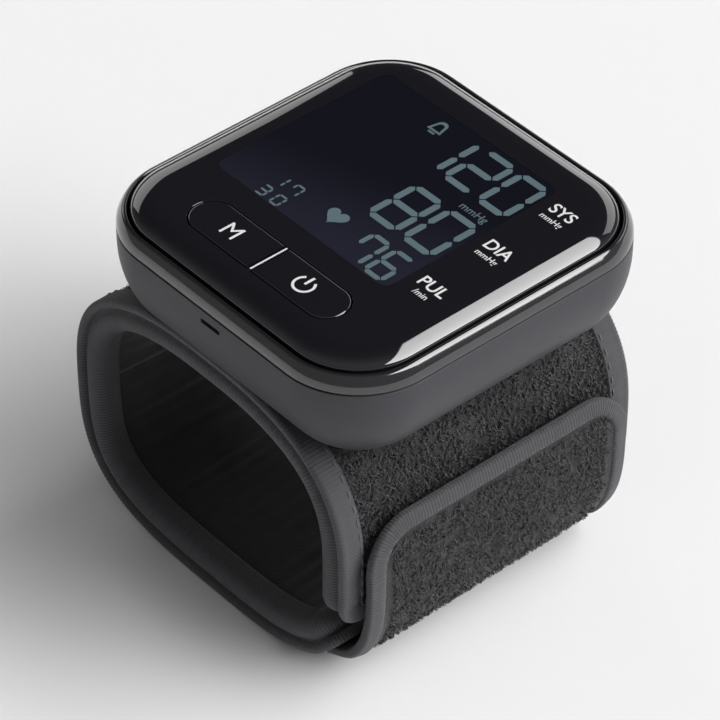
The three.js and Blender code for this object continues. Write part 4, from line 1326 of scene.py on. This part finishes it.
@dataclass
class Cuff:
    """The padded arms of the cuff, their edge tape, their stitches and their pile."""

    finishes: Finishes
    oval: Oval = Oval()
    stuffing: Stuffing = Stuffing()
    stitch: Stitch = Stitch()
    yarn: Yarn = Yarn()
    half_width: float = 32.5
    thick: float = 6.55
    corner: float = 5.4
    split: float = 180.0
    overlap: float = 0.6
    short_end: float = -20.0
    long_end: float = 331.0
    bend: Triple = (5.0, 0.0, 17.5)  # from the split to where the bend ends
    tape_reach: float = 5.0
    tape_steps: int = 44
    thin: float = 4.0  # thickness under which a flat tape is sewn on
    rib_pitch: float = 0.62
    rib_height: float = 0.05
    rib_steps: int = 4
    seam: Place = (0.9, 0.08)  # of the stitches: distance from the tape's inner edge, and height over it
    beside_head: Place = (24.0, 44.0)  # lengths of the upper arm's pile on both sides of the head
    pile_inset: float = 0.7
    tuck: float = 0.9  # how far the padding stays inside the tape
    rows: int = 110
    columns: int = 128
    squareness: float = 9.0
    pad_depth: Place = (2.4, 0.8)  # depth of the lining under the middle, and of its crown
    crown_fade: float = 14.0  # length over which the crown ends
    sewn_rise: float = -0.5  # height above which the skin is held
    sewn_rows: int = 4
    slack: float = 0.9

    def arms(self) -> dict[str, Strip]:
        """Gives the two arms as strips that start at the bend on the left."""
        upper = (self.split + self.overlap, self.short_end)
        lower = (self.split - self.overlap, self.long_end)
        return {
            name: Strip(self.oval, *ends, self.half_width, self.thick / 2.0, self.thick, self.corner)
            for name, ends in (("upper", upper), ("lower", lower))
        }

    def body(self, name: str, arm: Strip) -> bpy.types.Object:
        """Builds the padded body of an arm, closed all round.

        The section is a rounded oblong that is crowned towards the wrist, carried along the arm.

        Args:
            name: Name of the arm.
            arm: The arm.

        Returns:
            The piece.
        """
        across, rise = section(arm.half_width - self.tuck, 1.0, self.squareness, self.columns)
        along, half = arm.outline(self.tuck, self.rows)
        y = across[None, :] * (half / half[0])[:, None]
        near_end = np.clip((arm.length() - along) / self.crown_fade, 0.0, 1.0)[:, None]
        crown = (1.0 - (y / arm.half_width) ** 2) * near_end**2 * (3.0 - 2.0 * near_end)
        outer = np.broadcast_to(arm.middle - rise * (arm.middle - self.pile_inset), crown.shape)
        inner = arm.middle - rise * (self.pad_depth[0] + self.pad_depth[1] * crown)
        inset = np.where(rise > 0.0, outer, inner)
        angle = arm.angle(along)[:, None]
        rows = arm.oval.place(angle, inset, y)
        loose = arm.oval.place(angle, np.where(rise > 0.0, inset, inset - self.slack), y)
        sewn = (rise > self.sewn_rise) | (np.abs(y) > arm.half_width - self.tape_reach)
        sewn[: self.sewn_rows], sewn[along > arm.length() - self.tape_reach] = True, True
        flip = arm.stop < arm.start
        rows = self.stuff(rows, loose, sewn, flip)
        way = np.cumsum(np.hypot(np.gradient(across), np.gradient(rise)))
        uv = np.stack(np.broadcast_arrays(along[:, None], way[None, :]), axis=-1)
        skin = grid(rows, ring=True, flip=flip, uv=uv)
        top = np.tile(rise > 0.0, len(along) - 1)
        patches = [
            Patch(skin.points, skin.faces[top], skin.uv, 0),
            Patch(skin.points, skin.faces[~top], skin.uv, 1),
        ]
        patches += [fan(rows[row], uv[row], turned, 1) for row, turned in ((0, not flip), (-1, flip))]
        pile, lining = self.finishes["loop_pile"], self.finishes["lining"]
        piece = make_piece(f"cuff_{name}_pad", patches, [pile, lining], weld=True)
        filling = "lower_pad" if name == "lower" else "air_bladder"
        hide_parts(f"{name}_core", f"{name}_cover", f"{name}_lining", filling)
        return self.settle(piece, name)

    def stuff(self, rows: np.ndarray, loose: np.ndarray, sewn: np.ndarray, flip: bool) -> np.ndarray:
        """Lets the filling push the lining out, by a short cloth simulation at a larger scale.

        The lining is cut for the longer way round the middle of the cuff, so it has slack along the wrist's
        curve. The sewn points stay, and pressure from inside swells the rest into soft puckers.

        Args:
            rows: Points of the closed skin.
            loose: The same points as the cloth was cut.
            sewn: True for each point that stays.
            flip: True if the faces are turned round.

        Returns:
            The points after the simulation.
        """
        how = self.stuffing
        piece = make_piece("stuffing", [grid(rows * how.scale, ring=True, flip=flip)], [])
        piece.shape_key_add(name="sewn")
        cut = piece.shape_key_add(name="cut")
        cut.data.foreach_set("co", (loose * how.scale * MM).astype(np.float32).ravel())
        group = piece.vertex_groups.new(name="seam")
        group.add(np.flatnonzero(sewn.ravel()).tolist(), 1.0, "REPLACE")
        cloth = piece.modifiers.new("cloth", "CLOTH")
        cloth.settings.vertex_group_mass = group.name
        cloth.settings.rest_shape_key = cut
        cloth.settings.quality = how.quality
        cloth.settings.mass = how.mass
        cloth.settings.tension_stiffness = cloth.settings.compression_stiffness = how.stretch
        cloth.settings.shear_stiffness = how.shear
        cloth.settings.bending_stiffness = how.bend
        cloth.settings.use_pressure = True
        cloth.settings.uniform_pressure_force = how.pressure
        cloth.settings.effector_weights.gravity = 0.0
        cloth.collision_settings.use_collision = False
        cloth.point_cache.frame_end = how.frames
        scene = bpy.context.scene
        for frame in range(1, how.frames + 1):
            scene.frame_set(frame)
        made = applied(piece)
        points = np.zeros(rows.size, np.float32)
        made.vertices.foreach_get("co", points)
        scene.frame_set(1)
        bpy.data.objects.remove(piece)
        bpy.data.meshes.remove(made)
        swollen = points.reshape(rows.shape).astype(float) / (how.scale * MM)
        log.info("lining swells by up to %.2f mm", np.linalg.norm(swollen - rows, axis=-1).max())
        return swollen

    def settle(self, piece: bpy.types.Object, name: str) -> bpy.types.Object:
        """Fixes a piece of the lower arm to the cuff's base, and leaves a piece of the upper arm in place,
        fixed to no body.

        Args:
            piece: The piece.
            name: Name of the arm.

        Returns:
            The piece.
        """
        if name == "lower":
            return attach(piece, "cuff_base")
        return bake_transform(piece)

    def tape_section(self, thick: float, reach: float) -> np.ndarray:
        """Gives the section of the edge tape.

        From the outside it runs to a thin bead at the edge, dips into a groove, and swells into the roll of
        the lining before it ends on the inside. A smooth curve passes through the points of the table.

        Args:
            thick: Thickness of what it binds.
            reach: How far it reaches in from the edge.

        Returns:
            Distances out of the edge and out of the surface.
        """
        inner, out, side, over = np.array(FLAT_TAPE if thick < self.thin else PADDED_TAPE).T
        points = np.column_stack([out - inner * reach, side * thick / 2.0 + over])
        way = way_along(points)
        fine = np.linspace(0.0, way[-1], self.tape_steps)
        slope = np.gradient(points, way, axis=0)
        k = np.clip(np.searchsorted(way, fine, side="right") - 1, 0, len(way) - 2)
        span = (way[k + 1] - way[k])[:, None]
        t = ((fine - way[k]) / span[:, 0])[:, None]
        return (
            (2 * t**3 - 3 * t**2 + 1) * points[k]
            + (t**3 - 2 * t**2 + t) * span * slope[k]
            + (3 * t**2 - 2 * t**3) * points[k + 1]
            + (t**3 - t**2) * span * slope[k + 1]
        )

    def tape_patch(self, strip: Strip, reach: float) -> Patch:
        """Wraps ribbed tape round the edge of a strip.

        The section is carried along the edge, and every rib is a wave along it.

        Args:
            strip: What is bound.
            reach: How far the tape reaches in from the edge.

        Returns:
            The patch.
        """
        profile = self.tape_section(strip.thick, reach)
        path, out = strip.edge(self.rib_pitch / self.rib_steps)
        way = np.arange(len(path)) * self.rib_pitch / self.rib_steps
        lean = np.gradient(profile, axis=0)
        lean /= np.linalg.norm(lean, axis=1, keepdims=True)
        swell = np.column_stack([-lean[:, 1], lean[:, 0]])
        rib = self.rib_height * np.cos(2.0 * math.pi * way / self.rib_pitch)
        shape = profile[None] + rib[:, None, None] * swell[None]
        at = path[:, None, :] + out[:, None, :] * shape[..., :1]
        rows = strip.place(at[..., 0], shape[..., 1], at[..., 1])
        uv = np.stack(np.broadcast_arrays(way[:, None], way_along(profile)[None, :]), axis=-1)
        return grid(rows, flip=strip.stop > strip.start, uv=uv)

    def stitches(self, strip: Strip, inside: float, lift: float) -> Patch:
        """Sews a row of stitches beside the edge of a strip.

        Each stitch is a small grain, long along the row, that dips in at both ends.

        Args:
            strip: What is sewn.
            inside: Distance of the row from the edge.
            lift: Height over the middle of the strip.

        Returns:
            The patch.
        """
        stitch, steps = self.stitch, self.stitch.steps
        path, out = strip.edge(stitch.pitch / steps)
        row = path - out * inside
        first = np.arange(steps // 4, len(row) - steps, steps)
        t = np.linspace(-1.0, 1.0, stitch.points)
        turn = np.linspace(0.0, 2.0 * math.pi, stitch.points, endpoint=False)
        last = first + steps // 2
        ahead = row[last] - row[first]
        middle = (row[first] + row[last]) / 2.0
        side = out[first + steps // 4]
        girth = stitch.girth * np.sqrt(np.clip(1.0 - t**4, stitch.tip, 1.0))
        flat = (
            middle[:, None, None, :]
            + ahead[:, None, None, :] * (stitch.reach * t)[None, :, None, None]
            + side[:, None, None, :] * (girth[:, None] * np.cos(turn)[None, :])[None, :, :, None]
        )
        rise = lift + girth[:, None] * np.sin(turn)[None, :] - stitch.dip * (t**2)[:, None]
        points = strip.place(flat[..., 0], np.broadcast_to(rise, flat.shape[:-1]), flat[..., 1])
        one = grid(points[0], ring=True, flip=strip.stop > strip.start)
        faces = one.faces[None] + len(one.points) * np.arange(len(points))[:, None, None]
        return Patch(points.reshape(-1, 3), faces.reshape(-1, 4), points[..., :2].reshape(-1, 2))

    def pile(self, name: str, strip: Strip, spans: list[Place], ground: float) -> Patch:
        """Grows loops of yarn on the outside of a strip.

        Every loop is a narrow ribbon bent into an arch, turned and leaned by chance with a fixed seed.

        Args:
            name: Word that seeds the chance.
            strip: What carries the loops.
            spans: Stretches along the strip that get loops.
            ground: Height of the cloth over the middle of the strip.

        Returns:
            The patch.
        """
        yarn, chance = self.yarn, np.random.default_rng(sum(map(ord, name)))
        half = strip.half_width - self.tape_reach + yarn.lap
        at = np.concatenate(
            [
                np.column_stack([chance.uniform(a, b, n), chance.uniform(-half, half, n)])
                for a, b in spans
                for n in [int((b - a) * 2.0 * half * yarn.density)]
            ]
        )
        turn = chance.uniform(0.0, 2.0 * math.pi, len(at))
        ranges = (yarn.wide, yarn.tall, yarn.half_thick)
        wide, tall, thick = (chance.uniform(*ends, len(at)) for ends in ranges)
        lean = chance.uniform(*yarn.lean, (len(at), 2))
        tone = chance.beta(*yarn.tone, len(at))
        arch = np.linspace(0.0, math.pi, yarn.points)
        ahead = np.stack([np.cos(turn), np.sin(turn)], axis=-1)
        side = np.stack([-np.sin(turn), np.cos(turn)], axis=-1)
        flat = (
            at[:, None, None, :]
            + ahead[:, None, None, :] * (wide[:, None] * np.cos(arch)[None])[:, :, None, None]
            + side[:, None, None, :] * (thick[:, None] * np.array([-1.0, 1.0]))[:, None, :, None]
            + lean[:, None, None, :] * np.sin(arch)[None, :, None, None]
        )
        rise = (tall[:, None] * np.sin(arch)[None])[:, :, None] + ground - yarn.sunk
        points = strip.place(flat[..., 0], np.broadcast_to(rise, flat.shape[:-1]), flat[..., 1])
        return ribbons(points, flat, tone)

    def trimmings(
        self, name: str, strip: Strip, reach: float, seam: Place, spans: list[Place], ground: float
    ) -> list[bpy.types.Object]:
        """Builds the edge tape, the stitches and the loop pile of a strip.

        Args:
            name: First words of the pieces' names, the last of which seeds the chance.
            strip: The strip.
            reach: How far the tape reaches in from the edge.
            seam: Distance of the stitches from the tape's inner edge, and their height over the strip.
            spans: Stretches along the strip that get loops.
            ground: Height of the cloth over the middle of the strip.

        Returns:
            The three pieces.
        """
        tape = self.tape_patch(strip, reach)
        stitches = self.stitches(strip, reach - seam[0], strip.thick / 2.0 + seam[1])
        loops = self.pile(name.split("_")[-1], strip, spans, ground)
        return [
            make_piece(f"{name}_tape", [tape], [self.finishes["edge_tape"]]),
            make_piece(f"{name}_stitches", [stitches], [self.finishes["thread"]], crease=SMOOTH),
            make_piece(f"{name}_loops", [loops], [self.finishes["loop_pile"]], crease=SMOOTH),
        ]

    def build(self) -> None:
        """Builds both arms."""
        for name, arm in self.arms().items():
            pad, end = self.body(name, arm), arm.length() - self.tape_reach
            first, last = self.beside_head
            spans = [(0.0, first), (end - last, end)] if name == "upper" else [(0.0, end)]
            ground = arm.middle - self.pile_inset
            trimmings = self.trimmings(f"cuff_{name}", arm, self.tape_reach, self.seam, spans, ground)
            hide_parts(f"{name}_tape")
            for piece, slot in zip(trimmings, TRIMMING_SLOTS):
                self.settle(piece, name)
            report(pad, *trimmings)


@dataclass
class Flap:
    """The closing flap: a strap with rounded corners, its edge tape, its stitches and its hook patch."""

    finishes: Finishes
    cuff: Cuff
    root: float = -41.0
    hinge: float = -29.0
    bend: Place = (-4.0, 4.0)  # where the bend at the hinge starts and ends, in degrees
    tip: float = 15.0
    half_width: float = 29.0
    thick: float = 1.6
    middle: float = -2.25
    corner: float = 9.0
    taper: float = 8.0
    lean: float = 1.35
    tuck: float = 0.3  # how far the strap stays inside the tape
    rows: int = 40
    columns: int = 96
    squareness: float = 8.0
    tape_reach: float = 3.4
    seam: Place = (0.8, 0.22)  # of the stitches: distance from the tape's inner edge, and height over it
    bare_tip: float = 4.0
    hook_ends: Place = (-20.0, 7.0)  # where the hook patch starts and ends, in degrees
    hook_border: float = 5.0
    hook_middle: float = -1.35
    backing: float = 0.3
    backing_corner: float = 2.0
    backing_rows: int = 30
    backing_columns: int = 80
    hook_margin: float = 1.0
    hook_pitch: float = 1.1
    hook_half: float = 0.13  # half of a hook's width
    hook_foot: float = 0.1  # how far a hook's foot stands over the middle of the backing
    hook_bend: tuple[Place, ...] = ((0.0, 0.0), (0.0, 0.36), (0.1, 0.52), (0.26, 0.55), (0.38, 0.44))

    def strip(self) -> Strip:
        """Gives the flap as a strip that starts at its sewn root."""
        ends, shape = (self.root, self.tip), (self.thick, self.corner, self.taper, self.lean)
        return Strip(self.cuff.oval, *ends, self.half_width, self.middle, *shape)

    def strap(self) -> bpy.types.Object:
        """Builds the strap: a thin closed section that narrows round the corners of the tip."""
        strip = self.strip()
        along, half = strip.outline(self.tuck, self.rows)
        y, rise = section(1.0, self.thick / self.half_width / 2.0, self.squareness, self.columns)
        rows = strip.place(along[:, None], rise[None, :] * self.half_width, half[:, None] * y[None, :])
        piece = make_piece("flap_body", self.closed(rows), [self.finishes["loop_pile"]], weld=True)
        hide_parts("flap_strap", "flap_root")
        return self.settle(piece)

    @staticmethod
    def closed(rows: np.ndarray) -> list[Patch]:
        """Gives the sides of a row of closed sections and its two ends."""
        ends = [fan(rows[0], rows[0, :, :2], flip=True), fan(rows[-1], rows[-1, :, :2])]
        return [grid(rows, ring=True), *ends]

    def settle(self, piece: bpy.types.Object) -> bpy.types.Object:
        """Works out where the bend at the flap's hinge starts and stops, but leaves the piece in place, fixed
        to no body.

        Args:
            piece: The piece.

        Returns:
            The piece.
        """
        turn = self.hinge + np.array(self.bend)
        start, stop = self.cuff.oval.place(turn, np.array(self.middle), np.array(0.0)) * MM
        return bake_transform(piece)

    def hooks(self) -> bpy.types.Object:
        """Builds the hook patch inside the flap: rows of short curled hooks on a thin backing.

        Every hook is a narrow ribbon that stands up towards the cuff and then turns over.
        """
        half, edge = self.half_width - self.hook_border, self.hook_margin
        shape = (half, self.hook_middle, self.backing, self.backing_corner)
        strip = Strip(self.cuff.oval, *self.hook_ends, *shape)
        along = np.linspace(0.0, strip.length(), self.backing_rows)
        y, rise = section(half, strip.thick / 2.0, self.squareness, self.backing_columns)
        patches = self.closed(strip.place(along[:, None], rise[None, :], y[None, :]))
        ahead, across = np.meshgrid(
            np.arange(edge, strip.length() - edge, self.hook_pitch),
            np.arange(edge - half, half - edge, self.hook_pitch),
            indexing="ij",
        )
        way = np.where(np.arange(len(ahead)) % 2 == 0, 1.0, -1.0)[:, None, None, None]
        reach, height = np.array(self.hook_bend).T[:, :, None]
        ahead, deep, across = np.broadcast_arrays(
            ahead[..., None, None] + way * reach,
            -height - self.hook_foot,
            across[..., None, None] + np.array([-self.hook_half, self.hook_half]),
        )
        points = strip.place(ahead, deep, across)
        patches.append(ribbons(points, points[..., :2]))
        piece = make_piece("flap_hooks", patches, [self.finishes["hook_tape"]])
        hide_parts("hook_patch")
        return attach(piece, "flap")

    def build(self) -> None:
        """Builds the flap."""
        strip, half = self.strip(), self.thick / 2.0
        spans = [(0.0, strip.length() - self.bare_tip)]
        trimmings = self.cuff.trimmings("flap", strip, self.tape_reach, self.seam, spans, half)
        for piece, slot in zip(trimmings, TRIMMING_SLOTS):
            self.settle(piece)
        report(self.strap(), *trimmings, self.hooks())


# Studio


@dataclass(frozen=True)
class Lamp:
    """A long soft lamp that narrows and fades from one end to the other."""

    name: str
    start: Place  # azimuth and elevation of its first end, in degrees
    stop: Place  # azimuth and elevation of its other end
    sides: tuple[Place, Place]  # how far each side is from the middle line at the two ends, in degrees
    radiance: Place  # brightness at its two ends


@dataclass
class Studio:
    """A pale floor, soft lamps and the camera."""

    finishes: Finishes
    azimuth: float = 49.0
    elevation: float = 41.0
    lens: float = 202.0
    aim: Triple = (0.0, 0.0, 35.0)
    distance: float = 690.0
    floor_half: float = 4000.0
    away: float = 8.0  # distance of the lamps in metres
    lamp_aim: Triple = (0.0, 0.0, 0.045)  # what they face, in metres
    edge: float = 0.04  # part of a lamp's half width over which its long sides fade
    lamps: tuple[Lamp, ...] = (
        Lamp("key", (113.0, 20.0), (192.0, 58.5), ((33.0, 1.8), (18.0, 5.0)), (8.6, 5.2)),
        Lamp("back", (166.0, 34.0), (218.0, 8.0), ((11.0, 11.0), (11.0, 11.0)), (1.5, 1.5)),
        Lamp("side", (-124.0, 19.0), (-86.0, 19.0), ((12.0, 12.0), (12.0, 12.0)), (1.1, 1.1)),
    )
    sky_nearness: Place = (0.95, 0.1)  # cosines of the angles between which the sky grows lighter
    sky_radiance: Place = (0.03, 0.26)

    def direction(self, azimuth: float, elevation: float) -> np.ndarray:
        """Gives the unit vector to an azimuth, from the front to the right, and an elevation, in degrees."""
        a, e = math.radians(azimuth), math.radians(elevation)
        return np.array([math.sin(a) * math.cos(e), -math.cos(a) * math.cos(e), math.sin(e)])

    def camera(self) -> None:
        """Sets the camera at the viewing angle, far away with a long lens."""
        back = Vector(self.direction(self.azimuth, self.elevation))
        data = bpy.data.cameras.new("camera")
        data.lens = self.lens
        camera = bpy.data.objects.new("camera", data)
        camera.location = Vector(self.aim) * MM + back * self.distance * MM
        camera.rotation_euler = (-back).to_track_quat("-Z", "Y").to_euler()
        bpy.context.scene.collection.objects.link(camera)
        bpy.context.scene.camera = camera

    def softbox(self, spec: Lamp) -> None:
        """Hangs a lamp that faces the object, lit where a point lies between its two straight sides.

        Args:
            spec: What the lamp is like.
        """
        first, last = Vector(self.direction(*spec.start)), Vector(self.direction(*spec.stop))
        back = (first + last).normalized()
        along = (last - first).normalized()
        widths = np.tan(np.radians(spec.sides))
        data = bpy.data.lights.new(spec.name, "AREA")
        data.shape = "RECTANGLE"
        data.size = 2.0 * self.away * math.tan(first.angle(last) / 2.0)
        data.size_y = 2.0 * self.away * float(widths.max())
        data.energy = math.pi * data.size * data.size_y
        data.use_nodes = True
        graph, share = Graph(data.node_tree), (0.0, 1.0)
        where = graph.add("NewGeometry", "Parametric", {})
        x, y = (graph.add("SeparateXYZ", axis, {"Vector": where}) for axis in "XY")
        fade = graph.ramp(x, share, spec.radiance)
        near, far = (graph.ramp(x, share, tuple(side)) for side in widths / widths.max())
        across = graph.ramp(y, share, (-1.0, 1.0))
        rooms = graph.work_out("SUBTRACT", near, across), graph.work_out("ADD", far, across)
        room = graph.ramp(graph.work_out("MINIMUM", *rooms), (0.0, self.edge), share)
        strength = data.node_tree.nodes["Emission"].inputs["Strength"]
        graph.put(strength, graph.work_out("MULTIPLY", fade, room))
        lamp = bpy.data.objects.new(spec.name, data)
        turn = Matrix((along, back.cross(along), back)).transposed()
        lamp.matrix_world = Matrix.Translation(Vector(self.lamp_aim) + back * self.away) @ turn.to_4x4()
        bpy.context.scene.collection.objects.link(lamp)

    def sky(self, tree: bpy.types.NodeTree) -> None:
        """Lights the room softly, and leaves it dark where the flat of the display would mirror it.

        Args:
            tree: The world's node tree.
        """
        graph, shade = Graph(tree), tree.nodes["Background"]
        shade.inputs["Color"].default_value = (1.0, 1.0, 1.0, 1.0)
        mirrored = self.direction(self.azimuth + 180.0, self.elevation)
        place = graph.add("TexCoord", "Generated", {})
        near = graph.add("VectorMath", "Value", {0: place, 1: mirrored}, operation="DOT_PRODUCT")
        fade = graph.ramp(near, self.sky_nearness, self.sky_radiance, smooth=True)
        graph.put(shade.inputs["Strength"], fade)

    def build(self) -> None:
        """Builds the floor, the lamps, the world and the camera."""
        half = self.floor_half
        corners = np.array([[[x, y, 0.0] for x in (-half, half)] for y in (-half, half)])
        make_piece("floor", [grid(corners)], [self.finishes["floor"]])
        world = bpy.data.worlds.new("studio")
        world.use_nodes = True
        self.sky(world.node_tree)
        bpy.context.scene.world = world
        for lamp in self.lamps:
            self.softbox(lamp)
        bpy.context.scene.view_settings.view_transform = "Standard"
        self.camera()


def main() -> None:
    """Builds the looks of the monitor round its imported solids."""
    logging.basicConfig(level=logging.INFO, format="%(name)s: %(message)s")
    for left in list(bpy.data.objects):
        bpy.data.objects.remove(left)
    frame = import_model()
    finishes = Finishes()
    finishes.dress_nodes(frame)
    cuff = Cuff(finishes)
    head = Head(finishes)
    head.build(cuff)
    Marks(finishes).build(head)
    cuff.build()
    Flap(finishes, cuff).build()
    Studio(finishes).build()


if __name__ == "__main__":
    main()
